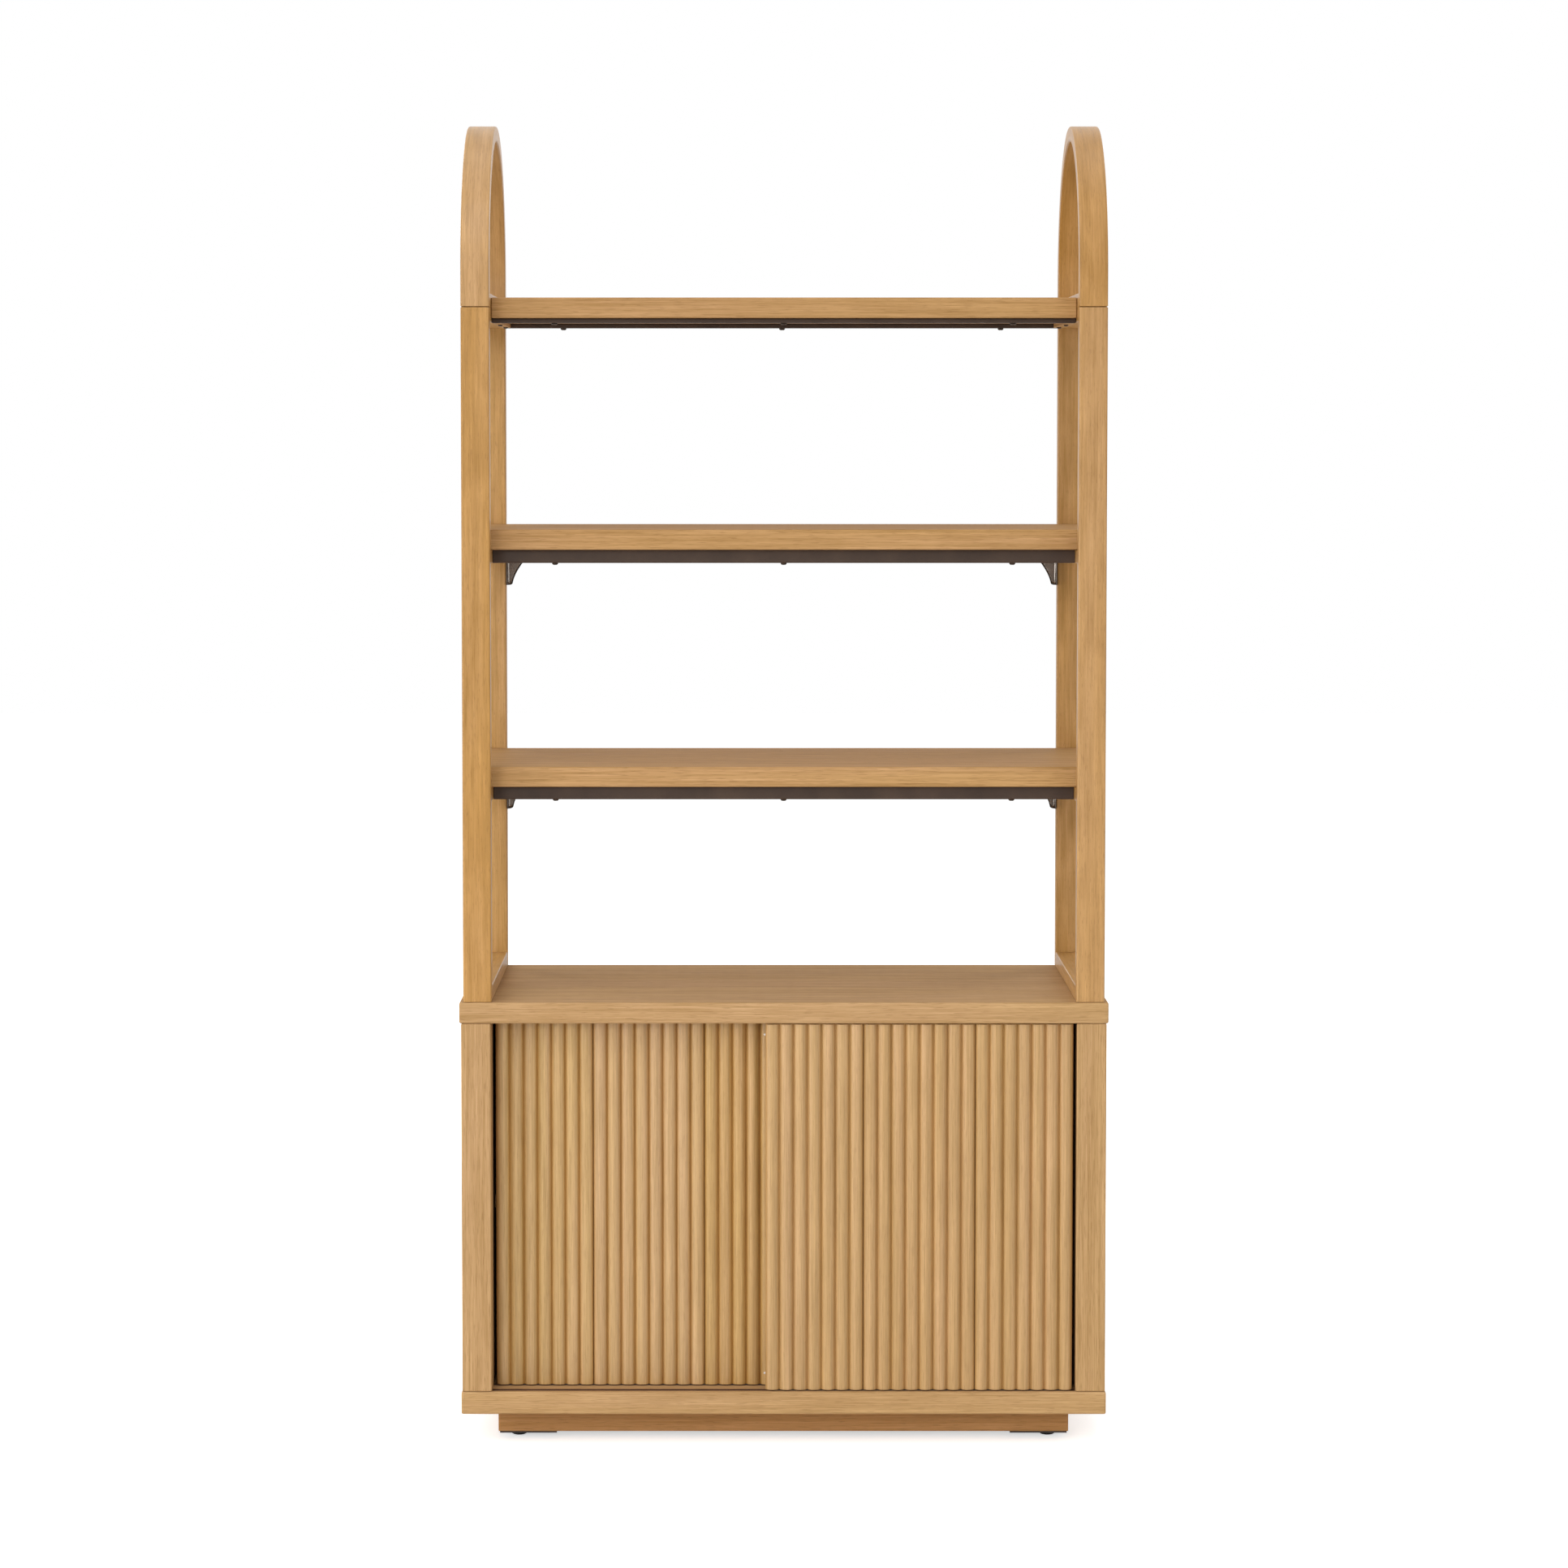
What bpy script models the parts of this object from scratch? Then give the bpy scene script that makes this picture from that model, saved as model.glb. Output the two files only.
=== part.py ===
# A bookcase on a low cabinet. Two side frames, each with two posts and a half-round arch, carry three shelves on
# steel bars. They stand on a cabinet with two fluted sliding doors, a recessed plinth and four levelling glides.
# Metres, +Z up. The front faces -Y, and the origin is the floor point under the middle of the object.
import math

import bmesh
import bpy
from mathutils import Matrix, Vector

# Fits
SEAT_GAP = 0.0003                 # between pieces that touch
SLIDE_PLAY = 0.0003               # on each side of a sliding fit
CUT_OVERRUN = 0.002               # how far a cutter runs past the face it opens
MERGE_DISTANCE = 0.00001          # joins the points of one corner
FLAT_ANGLE = math.radians(0.5)    # faces closer than this make one flat face
EDGE_ANGLE = math.radians(40)     # edges sharper than this are rounded
EDGE_STEPS = 2                    # faces across a rounded edge

# Cabinet panels
CABINET_WIDTH = 0.800
CABINET_DEPTH = 0.385
TOP_THICKNESS = 0.026
BOTTOM_THICKNESS = 0.028
BOTTOM_END_INSET = 0.001          # bottom panel's end from the top panel's end
SIDE_THICKNESS = 0.0365
SIDE_END_INSET = 0.0022           # side panel's outer face from the top panel's end
SIDE_FACE_INSET = 0.001           # side panel's front and rear edge from the cabinet's
SIDE_HEIGHT = 0.4584
PANEL_ROUNDING = 0.002
SIDE_ROUNDING = 0.0015
BACK_THICKNESS = 0.006
BACK_INSET = 0.007                # back panel's rear face from the cabinet's rear
BACK_GROOVE_DEPTH = 0.006

# Plinth, corner plates and levelling glides
PLINTH_HEIGHT = 0.0312
PLINTH_THICKNESS = 0.018
PLINTH_END_INSET = 0.0442         # plinth's outer face from the cabinet's end
PLINTH_SETBACK = 0.045            # plinth's front and rear face from the cabinet's
PLINTH_ROUNDING = 0.001
PLATE_SIZE = 0.071
PLATE_THICKNESS = 0.002
PLATE_INSET = 0.0018              # plate's edge from the plinth's outer face
NUT_RADIUS = 0.0058               # over the corners
NUT_HEIGHT = 0.005
NUT_SIDES = 6
GLIDE_HEIGHT = 0.0064
GLIDE_RADIUS = 0.0108
GLIDE_FLAT_RADIUS = 0.0064        # of the patch that stands on the floor
GLIDE_RIM = 0.0014                # height of the straight rim over the dome
GLIDE_INSET = 0.0248              # glide's axis from the plinth's outer side face
GLIDE_SETBACK = 0.0270            # glide's axis from the plinth's front or rear face
STEM_RADIUS = 0.003
STEM_LENGTH = 0.026
STEM_CHAMFER = 0.0006
GLIDE_STEPS = 20
DOME_STEPS = 4

# Side frames
FRAME_WIDTH = 0.035
FRAME_THICKNESS = 0.019
FRAME_END_INSET = 0.005           # frame's outer face from the cabinet's end
FRAME_SETBACK = 0.001             # post's front or rear face from the cabinet's
FRAME_ROUNDING = 0.002
POST_HEIGHT = 0.8529
ARCH_LEG = 0.0399                 # straight length below the half circle
ARCH_STEPS = 48
BOTTOM_RAIL_HEIGHT = 0.019
LOW_RAIL_HEIGHT = 0.0165
TOP_RAIL_HEIGHT = 0.035
TOP_RAIL_DROP = 0.0052            # top rail's lower face below the top shelf
RAIL_ROUNDING = 0.001

# Shelves
SHELF_THICKNESS = 0.025
SHELF_ROUNDING = 0.0015
SHELF_END_INSET = 0.006           # end of a long shelf from the cabinet's end
SHELF_SETBACK = 0.0387            # shelf's front edge from the cabinet's front
LOWER_SHELF_RISE = 0.2629         # shelf's underside over the foot of the posts
MIDDLE_SHELF_RISE = 0.5560

# Steel bars under the shelves
BAR_WIDTH = 0.020
CHANNEL_HEIGHT = 0.0165
CHANNEL_WALL = 0.0015
FLAT_BAR_HEIGHT = 0.0055
FRONT_BAR_INSET = 0.0158          # bar's front face from the shelf's front edge
REAR_BAR_INSET = 0.0212           # bar's rear face from the shelf's rear edge
SCREW_END_INSET = 0.0767          # outer screws from the bar's ends
SCREW_RADIUS = 0.004
SCREW_HEIGHT = 0.0026
SCREW_RIM = 0.0008
SCREW_SEAT = 0.0007               # how far the head is let into the bar
SCREW_STEPS = 12
SCREW_DOME_STEPS = 3

# Pressed gussets under the rear corners of the two long shelves
GUSSET_DEPTH = 0.020
GUSSET_LAP = 0.0097               # how far it reaches forward under the shelf
GUSSET_HEIGHT = 0.0544
GUSSET_FOOT = 0.0079              # width at the foot
GUSSET_SPREAD = 0.037             # how much wider it is under the shelf
GUSSET_SWEEP = 1.6                # power of the curved edge
GUSSET_STEPS = 10
GUSSET_WALL = 0.0015
GUSSET_WEB = 0.002
GUSSET_LIP = 0.005                # lip along the curved edge, in front of the web
FOOT_RADIUS = 0.003
FOOT_STEPS = 3

# Sliding doors
DOOR_OVERLAP = 0.0452             # closed doors in front of each other
DOOR_THICKNESS = 0.019
DOOR_SIDE_GAP = 0.0039            # closed door from its side panel
DOOR_FOOT_GAP = 0.0015
DOOR_HEAD_GAP = 0.0028
DOOR_SETBACKS = {"left": 0.0345, "right": 0.0035}
BOARD_RIBS = (7, 8, 7)            # flutes on the three boards of a door
RIB_DEPTH = 0.0055
RIB_STEPS = 8
VALLEY_FLAT = 0.0006
BOARD_TONGUE_THICKNESS = 0.004
BOARD_TONGUE_LENGTH = 0.004
BOARD_TONGUE_SETBACK = 0.0105     # tongue's front face from the door's front
GUIDE_SETBACK = 0.0093            # guide line from the door's front
HEAD_TONGUE_THICKNESS = 0.0066
HEAD_TONGUE_HEIGHT = 0.008
HEAD_GROOVE_WIDTH = 0.0076
HEAD_GROOVE_DEPTH = 0.012
RUNNER_WIDTH = 0.007
RUNNER_STEM_WIDTH = 0.003
RUNNER_STEM_HEIGHT = 0.006
RUNNER_END_INSET = 0.004
TRACK_WALL = 0.0012
TRACK_DEPTH = 0.0055

# Shelf inside the cabinet and its pins
INNER_SHELF_THICKNESS = 0.018
INNER_SHELF_SETBACK = 0.066
INNER_SHELF_BACK_GAP = 0.006
INNER_SHELF_END_GAP = 0.001
INNER_SHELF_ROUNDING = 0.001
PIN_RADIUS = 0.0025
PIN_LENGTH = 0.0177
PIN_HOLE_DEPTH = 0.010
PIN_LEVEL = 0.2150                # used pin holes over the bottom panel
PIN_PITCH = 0.032
PIN_HOLE_ROWS = (-1, 0, 1)        # holes below, at and above the used level
PIN_SETBACK = 0.037               # pins from the inner shelf's front or rear edge
PIN_STEPS = 12

# Outlines drawn in two directions and thickened along the third
ALONG_X = Matrix(((0, 0, 1, 0), (1, 0, 0, 0), (0, 1, 0, 0), (0, 0, 0, 1)))
ALONG_Y = Matrix(((1, 0, 0, 0), (0, 0, -1, 0), (0, 1, 0, 0), (0, 0, 0, 1)))
ALONG_Z = Matrix.Identity(4)

SIDES = (("left", -1), ("right", 1))
ENDS = (("front", -1), ("rear", 1))


for old in list(bpy.data.objects):
    bpy.data.objects.remove(old)


def make_collection(name):
    collection = bpy.data.collections.new(name)
    bpy.context.scene.collection.children.link(collection)
    return collection


parts = make_collection("bookcase_with_cabinet")
cutters = make_collection("cutters")


def linear(code):
    # sRGB colour code to linear red, green, blue
    levels = [int(code[place:place + 2], 16) / 255 for place in (0, 2, 4)]
    return [v / 12.92 if v <= 0.04045 else ((v + 0.055) / 1.055) ** 2.4 for v in levels]


def make_material(name, code, roughness, metallic=0):
    material = bpy.data.materials.new(name)
    material.use_nodes = True
    shader = material.node_tree.nodes["Principled BSDF"]
    shader.inputs["Base Color"].default_value = (*linear(code), 1)
    shader.inputs["Roughness"].default_value = roughness
    shader.inputs["Metallic"].default_value = metallic
    return material


frame_wood = make_material("frame_wood", "C89E64", 0.32)
panel_wood = make_material("panel_wood", "C39A6C", 0.45)
shelf_wood = make_material("shelf_wood", "C49B6D", 0.42)
door_wood = make_material("door_wood", "BC9366", 0.5)
plinth_wood = make_material("plinth_wood", "AD8153", 0.5)
back_board = make_material("back_board", "B89468", 0.6)
bar_steel = make_material("bar_steel", "44342B", 0.45, 0.3)
gusset_steel = make_material("gusset_steel", "2E2622", 0.3, 0.6)
plate_steel = make_material("plate_steel", "4A4440", 0.4, 0.8)
pin_steel = make_material("pin_steel", "B4B2AE", 0.3, 1)
track_plastic = make_material("track_plastic", "4A2E1C", 0.5)
runner_nylon = make_material("runner_nylon", "372C24", 0.5)
glide_plastic = make_material("glide_plastic", "2B2928", 0.45)


def add_object(name, mesh, material, place, collection):
    item = bpy.data.objects.new(name, mesh)
    item.matrix_world = place
    if collection is cutters:
        item.hide_render = True
        item.display_type = "WIRE"
    else:
        mesh.materials.append(material)
    collection.objects.link(item)
    return item


def box(name, low, high, material=None, collection=parts):
    # A box between two corners, with its origin in its centre
    centre = (Vector(low) + Vector(high)) / 2
    size = Vector(high) - Vector(low)
    shape = bmesh.new()
    bmesh.ops.create_cube(shape, size=1)
    bmesh.ops.scale(shape, vec=size, verts=shape.verts)
    mesh = bpy.data.meshes.new(name)
    shape.to_mesh(mesh)
    shape.free()
    return add_object(name, mesh, material, Matrix.Translation(centre), collection)


def rods(name, centres, radius, length, sides, turn, material=None, collection=parts):
    # Cylinders about parallel axes in one mesh, placed relative to the first
    shape = bmesh.new()
    for centre in centres:
        shift = Matrix.Translation(Vector(centre) - Vector(centres[0]))
        bmesh.ops.create_cone(shape, cap_ends=True, segments=sides, radius1=radius, radius2=radius, depth=length,
                              matrix=shift @ turn)
    mesh = bpy.data.meshes.new(name)
    shape.to_mesh(mesh)
    shape.free()
    mesh.shade_smooth()
    mesh.set_sharp_from_angle(angle=EDGE_ANGLE)
    return add_object(name, mesh, material, Matrix.Translation(centres[0]), collection)


def extruded(name, outline, thickness, axes, origin, material=None, collection=parts):
    # A flat outline about the origin, thickened half to each side
    curve = bpy.data.curves.new(name, "CURVE")
    curve.dimensions = "2D"
    curve.fill_mode = "BOTH"
    curve.extrude = thickness / 2
    spline = curve.splines.new("POLY")
    spline.points.add(len(outline) - 1)
    for point, (across, up) in zip(spline.points, outline):
        point.co = (across, up, 0, 1)
    spline.use_cyclic_u = True
    sketch = bpy.data.objects.new(name, curve)
    sketch.matrix_world = Matrix.Translation(origin) @ axes
    bpy.context.scene.collection.objects.link(sketch)
    bpy.context.view_layer.update()
    place = sketch.matrix_world.copy()
    mesh = bpy.data.meshes.new_from_object(sketch.evaluated_get(bpy.context.evaluated_depsgraph_get()))
    mesh.name = name
    bpy.data.objects.remove(sketch)
    bpy.data.curves.remove(curve)
    shape = bmesh.new()
    shape.from_mesh(mesh)
    bmesh.ops.remove_doubles(shape, verts=shape.verts, dist=MERGE_DISTANCE)
    bmesh.ops.dissolve_limit(shape, angle_limit=FLAT_ANGLE, verts=shape.verts, edges=shape.edges)
    bmesh.ops.recalc_face_normals(shape, faces=shape.faces)
    shape.to_mesh(mesh)
    shape.free()
    mesh.shade_smooth()
    mesh.set_sharp_from_angle(angle=EDGE_ANGLE)
    return add_object(name, mesh, material, place, collection)


def turned(name, profile, steps, origin, material=None, collection=parts):
    # A profile from the top of the axis down its outer side, turned about the vertical axis
    mesh = bpy.data.meshes.new(name)
    shape = bmesh.new()
    corners = [shape.verts.new((radius, 0, height)) for radius, height in profile]
    for upper, lower in zip(corners, corners[1:]):
        shape.edges.new((upper, lower))
    shape.to_mesh(mesh)
    shape.free()
    item = add_object(name, mesh, material, Matrix.Translation(origin), collection)
    turn = item.modifiers.new("turn", "SCREW")
    turn.axis = "Z"
    turn.steps = steps
    turn.render_steps = steps
    turn.use_merge_vertices = True
    turn.merge_threshold = MERGE_DISTANCE
    turn.use_smooth_shade = True
    return item


def round_edges(item, width):
    rounding = item.modifiers.new("rounded edges", "BEVEL")
    rounding.width = width
    rounding.segments = EDGE_STEPS
    rounding.limit_method = "ANGLE"
    rounding.angle_limit = EDGE_ANGLE
    return item


def combine(item, tool, operation):
    step = item.modifiers.new(tool.name, "BOOLEAN")
    step.operation = operation
    step.solver = "EXACT"
    step.object = tool


def cut(item, tool):
    combine(item, tool, "DIFFERENCE")


def fuse(item, tool):
    combine(item, tool, "UNION")


def cut_box(name, low, high):
    return box(name, low, high, collection=cutters)


def across(sign, inner, outer):
    # Low and high X of a piece on the left or right side
    return sorted((sign * inner, sign * outer))


def inset(outline, distance):
    # Moves each edge of a closed outline inward and finds its corners again
    count = len(outline)
    doubled_area = sum(a[0] * b[1] - b[0] * a[1] for a, b in zip(outline, outline[1:] + outline[:1]))
    turn = 1 if doubled_area > 0 else -1
    moved = []
    for index in range(count):
        before = Vector(outline[index - 1])
        here = Vector(outline[index])
        after = Vector(outline[(index + 1) % count])
        first = (here - before).normalized()
        second = (after - here).normalized()
        normal = Vector((-first.y, first.x)) * turn + Vector((-second.y, second.x)) * turn
        normal.normalize()
        spread = normal.dot(Vector((-first.y, first.x)) * turn)
        moved.append(tuple(here + normal * distance / spread))
    return moved


# Levels over the floor
plate_low = GLIDE_HEIGHT + SEAT_GAP
plate_high = plate_low + PLATE_THICKNESS
plinth_low = plate_high + SEAT_GAP
plinth_high = plinth_low + PLINTH_HEIGHT
bottom_low = plinth_high + SEAT_GAP
bottom_high = bottom_low + BOTTOM_THICKNESS
side_low = bottom_high + SEAT_GAP
side_high = side_low + SIDE_HEIGHT
top_low = side_high + SEAT_GAP
top_high = top_low + TOP_THICKNESS
frame_low = top_high + SEAT_GAP
post_high = frame_low + POST_HEIGHT
arch_low = post_high + SEAT_GAP
spring_level = arch_low + ARCH_LEG
lower_shelf_low = frame_low + LOWER_SHELF_RISE
middle_shelf_low = frame_low + MIDDLE_SHELF_RISE
top_rail_low = (post_high + arch_low - TOP_RAIL_HEIGHT) / 2
top_shelf_low = top_rail_low + TOP_RAIL_DROP

# Faces seen from above
front = -CABINET_DEPTH / 2
rear = CABINET_DEPTH / 2
end = CABINET_WIDTH / 2
side_outer = end - SIDE_END_INSET
side_inner = side_outer - SIDE_THICKNESS
frame_outer = end - FRAME_END_INSET
frame_inner = frame_outer - FRAME_WIDTH
frame_middle = (frame_outer + frame_inner) / 2
post_front = front + FRAME_SETBACK
post_rear = rear - FRAME_SETBACK
rail_front = post_front + FRAME_THICKNESS + SEAT_GAP
rail_rear = post_rear - FRAME_THICKNESS - SEAT_GAP
shelf_front = front + SHELF_SETBACK
shelf_rear = rail_rear
back_rear = rear - BACK_INSET
back_front = back_rear - BACK_THICKNESS
inner_shelf_front = front + INNER_SHELF_SETBACK
inner_shelf_rear = back_front - INNER_SHELF_BACK_GAP
plinth_outer = end - PLINTH_END_INSET
plinth_inner = plinth_outer - PLINTH_THICKNESS
plinth_front = front + PLINTH_SETBACK
plinth_rear = rear - PLINTH_SETBACK

# Cabinet panels
cabinet_bottom = box("cabinet_bottom", (-end + BOTTOM_END_INSET, front, bottom_low),
                     (end - BOTTOM_END_INSET, rear, bottom_high), panel_wood)
cabinet_top = box("cabinet_top", (-end, front, top_low), (end, rear, top_high), panel_wood)
for panel in (cabinet_bottom, cabinet_top):
    round_edges(panel, PANEL_ROUNDING)
side_panels = []
for side, sign in SIDES:
    low_x, high_x = across(sign, side_inner, side_outer)
    panel = box("cabinet_side_" + side, (low_x, front + SIDE_FACE_INSET, side_low),
                (high_x, rear - SIDE_FACE_INSET, side_high), panel_wood)
    round_edges(panel, SIDE_ROUNDING)
    side_panels.append(panel)

# Back panel in a groove that runs round the cabinet
groove_reach = BACK_GROOVE_DEPTH - SEAT_GAP
box("back_panel", (-side_inner - groove_reach, back_front, bottom_high - groove_reach),
    (side_inner + groove_reach, back_rear, top_low + groove_reach), back_board)
back_groove = cut_box("back_groove",
                      (-side_inner - BACK_GROOVE_DEPTH, back_front - SEAT_GAP, bottom_high - BACK_GROOVE_DEPTH),
                      (side_inner + BACK_GROOVE_DEPTH, back_rear + SEAT_GAP, top_low + BACK_GROOVE_DEPTH))
for panel in (cabinet_bottom, cabinet_top, *side_panels):
    cut(panel, back_groove)

# Inner shelf on four pins, with spare pin holes above and below
pin_level = bottom_high + PIN_LEVEL
pin_rows = (inner_shelf_front + PIN_SETBACK, inner_shelf_rear - PIN_SETBACK)
shelf_low = pin_level + PIN_RADIUS + SEAT_GAP
inner_shelf_end = side_inner - INNER_SHELF_END_GAP
inner_shelf = box("inner_shelf", (-inner_shelf_end, inner_shelf_front, shelf_low),
                  (inner_shelf_end, inner_shelf_rear, shelf_low + INNER_SHELF_THICKNESS), panel_wood)
round_edges(inner_shelf, INNER_SHELF_ROUNDING)
turn_to_x = Matrix.Rotation(math.radians(90), 4, "Y")
pin_middle = side_inner + PIN_HOLE_DEPTH - SEAT_GAP - PIN_LENGTH / 2
hole_length = PIN_HOLE_DEPTH + CUT_OVERRUN
hole_middle = side_inner + PIN_HOLE_DEPTH - hole_length / 2
for (side, sign), panel in zip(SIDES, side_panels):
    for (row, _), row_y in zip(ENDS, pin_rows):
        rods("shelf_pin_" + row + "_" + side, [(sign * pin_middle, row_y, pin_level)], PIN_RADIUS, PIN_LENGTH,
             PIN_STEPS, turn_to_x, pin_steel)
    holes = [(sign * hole_middle, row_y, pin_level + step * PIN_PITCH)
             for row_y in pin_rows for step in PIN_HOLE_ROWS]
    cut(panel, rods("pin_holes_" + side, holes, PIN_RADIUS + SEAT_GAP, hole_length, PIN_STEPS, turn_to_x,
                    collection=cutters))

# Plinth of four boards, set back all round
plinth_boards = [
    ("plinth_front", (-plinth_outer, plinth_front), (plinth_outer, plinth_front + PLINTH_THICKNESS)),
    ("plinth_rear", (-plinth_outer, plinth_rear - PLINTH_THICKNESS), (plinth_outer, plinth_rear)),
]
for side, sign in SIDES:
    low_x, high_x = across(sign, plinth_inner, plinth_outer)
    plinth_boards.append(("plinth_" + side, (low_x, plinth_front + PLINTH_THICKNESS + SEAT_GAP),
                          (high_x, plinth_rear - PLINTH_THICKNESS - SEAT_GAP)))
for name, low, high in plinth_boards:
    board = box(name, (*low, plinth_low), (*high, plinth_high), plinth_wood)
    round_edges(board, PLINTH_ROUNDING)

# Corner plates with a welded nut, and levelling glides screwed through them
dome = []
for step in range(DOME_STEPS + 1):
    angle = math.radians(90) * step / DOME_STEPS
    dome.append((GLIDE_FLAT_RADIUS + (GLIDE_RADIUS - GLIDE_FLAT_RADIUS) * math.cos(angle),
                 (GLIDE_HEIGHT - GLIDE_RIM) * (1 - math.sin(angle))))
glide_profile = [
    (0, GLIDE_HEIGHT + STEM_LENGTH),
    (STEM_RADIUS - STEM_CHAMFER, GLIDE_HEIGHT + STEM_LENGTH),
    (STEM_RADIUS, GLIDE_HEIGHT + STEM_LENGTH - STEM_CHAMFER),
    (STEM_RADIUS, GLIDE_HEIGHT),
    (GLIDE_RADIUS, GLIDE_HEIGHT),
    *dome,
    (0, 0),
]
for place, depth_sign in ENDS:
    for side, sign in SIDES:
        name = place + "_" + side
        low_x, high_x = across(sign, plinth_outer - PLATE_INSET - PLATE_SIZE, plinth_outer - PLATE_INSET)
        low_y, high_y = across(depth_sign, plinth_rear - PLATE_INSET - PLATE_SIZE, plinth_rear - PLATE_INSET)
        glide_x = sign * (plinth_outer - GLIDE_INSET)
        glide_y = depth_sign * (plinth_rear - GLIDE_SETBACK)
        plate = box("corner_plate_" + name, (low_x, low_y, plate_low), (high_x, high_y, plate_high), plate_steel)
        nut_low = plate_high - PLATE_THICKNESS / 2
        nut_high = plate_high + NUT_HEIGHT
        fuse(plate, rods("nut_" + name, [(glide_x, glide_y, (nut_low + nut_high) / 2)], NUT_RADIUS,
                         nut_high - nut_low, NUT_SIDES, ALONG_Z, collection=cutters))
        bore_low = plate_low - CUT_OVERRUN
        bore_high = nut_high + CUT_OVERRUN
        cut(plate, rods("bore_" + name, [(glide_x, glide_y, (bore_low + bore_high) / 2)],
                        STEM_RADIUS + SLIDE_PLAY, bore_high - bore_low, GLIDE_STEPS, ALONG_Z, collection=cutters))
        turned("glide_" + name, glide_profile, GLIDE_STEPS, (glide_x, glide_y, 0), glide_plastic)

# Side frames: posts, arches and cross rails
arch_radius = (post_rear - post_front) / 2
arch_outline = []
for radius, direction in ((arch_radius, 1), (arch_radius - FRAME_THICKNESS, -1)):
    arc = [(-radius, arch_low - spring_level)]
    for step in range(ARCH_STEPS + 1):
        angle = math.pi * step / ARCH_STEPS
        arc.append((-radius * math.cos(angle), radius * math.sin(angle)))
    arc.append((radius, arch_low - spring_level))
    arch_outline += arc[::direction]
rails = (
    ("bottom_rail_", frame_low, BOTTOM_RAIL_HEIGHT),
    ("lower_rail_", lower_shelf_low - SEAT_GAP - LOW_RAIL_HEIGHT, LOW_RAIL_HEIGHT),
    ("middle_rail_", middle_shelf_low - SEAT_GAP - LOW_RAIL_HEIGHT, LOW_RAIL_HEIGHT),
    ("top_rail_", top_rail_low, TOP_RAIL_HEIGHT),
)
for side, sign in SIDES:
    low_x, high_x = across(sign, frame_inner, frame_outer)
    for place, depth_sign in ENDS:
        low_y, high_y = across(depth_sign, post_rear - FRAME_THICKNESS, post_rear)
        post = box(place + "_post_" + side, (low_x, low_y, frame_low), (high_x, high_y, post_high), frame_wood)
        round_edges(post, FRAME_ROUNDING)
    arch = extruded("arch_" + side, arch_outline, FRAME_WIDTH, ALONG_X, (sign * frame_middle, 0, spring_level),
                    frame_wood)
    round_edges(arch, FRAME_ROUNDING)
    for name, low_z, height in rails:
        rail = box(name + side, (low_x, rail_front, low_z), (high_x, rail_rear, low_z + height), frame_wood)
        round_edges(rail, RAIL_ROUNDING)

# Shelves: the long ones lie on the rails, the top one sits between them
long_shelf_end = end - SHELF_END_INSET
top_shelf_end = frame_inner - SEAT_GAP
shelves = (
    ("lower_shelf", lower_shelf_low, long_shelf_end),
    ("middle_shelf", middle_shelf_low, long_shelf_end),
    ("top_shelf", top_shelf_low, top_shelf_end),
)
for name, low_z, shelf_end in shelves:
    shelf = box(name, (-shelf_end, shelf_front, low_z), (shelf_end, shelf_rear, low_z + SHELF_THICKNESS), shelf_wood)
    round_edges(shelf, SHELF_ROUNDING)

# Steel bars under the shelves: open channels under the long ones and flat bars under the top one
bar_end = frame_inner - SEAT_GAP
half_bar = BAR_WIDTH / 2
half_hollow = half_bar - CHANNEL_WALL
channel_outline = [
    (-half_bar, 0),
    (half_bar, 0),
    (half_bar, CHANNEL_HEIGHT),
    (half_hollow, CHANNEL_HEIGHT),
    (half_hollow, CHANNEL_WALL),
    (-half_hollow, CHANNEL_WALL),
    (-half_hollow, CHANNEL_HEIGHT),
    (-half_bar, CHANNEL_HEIGHT),
]
flat_outline = [(-half_bar, 0), (half_bar, 0), (half_bar, FLAT_BAR_HEIGHT), (-half_bar, FLAT_BAR_HEIGHT)]
screw_profile = [(0, SCREW_SEAT), (SCREW_RADIUS, SCREW_SEAT)]
for step in range(SCREW_DOME_STEPS + 1):
    angle = math.radians(90) * step / SCREW_DOME_STEPS
    screw_profile.append((SCREW_RADIUS * math.cos(angle),
                          -SCREW_RIM - (SCREW_HEIGHT - SCREW_RIM) * math.sin(angle)))
screw_profile[-1] = (0, -SCREW_HEIGHT)
bars = (
    ("lower", lower_shelf_low, channel_outline, CHANNEL_HEIGHT),
    ("middle", middle_shelf_low, channel_outline, CHANNEL_HEIGHT),
    ("top", top_shelf_low, flat_outline, FLAT_BAR_HEIGHT),
)
screw_spread = bar_end - SCREW_END_INSET
bar_rows = (
    ("front", shelf_front + FRONT_BAR_INSET + half_bar),
    ("rear", shelf_rear - REAR_BAR_INSET - half_bar),
)
for shelf_name, shelf_level, outline, height in bars:
    for place, bar_y in bar_rows:
        bar_low = shelf_level - SEAT_GAP - height
        name = shelf_name + "_" + place + "_bar"
        bar = extruded(name, outline, bar_end * 2, ALONG_X, (0, bar_y, bar_low), bar_steel)
        for number, screw_x in enumerate((-screw_spread, 0, screw_spread), start=1):
            fuse(bar, turned(name + "_screw_" + str(number), screw_profile, SCREW_STEPS, (screw_x, bar_y, bar_low),
                             collection=cutters))

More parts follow.
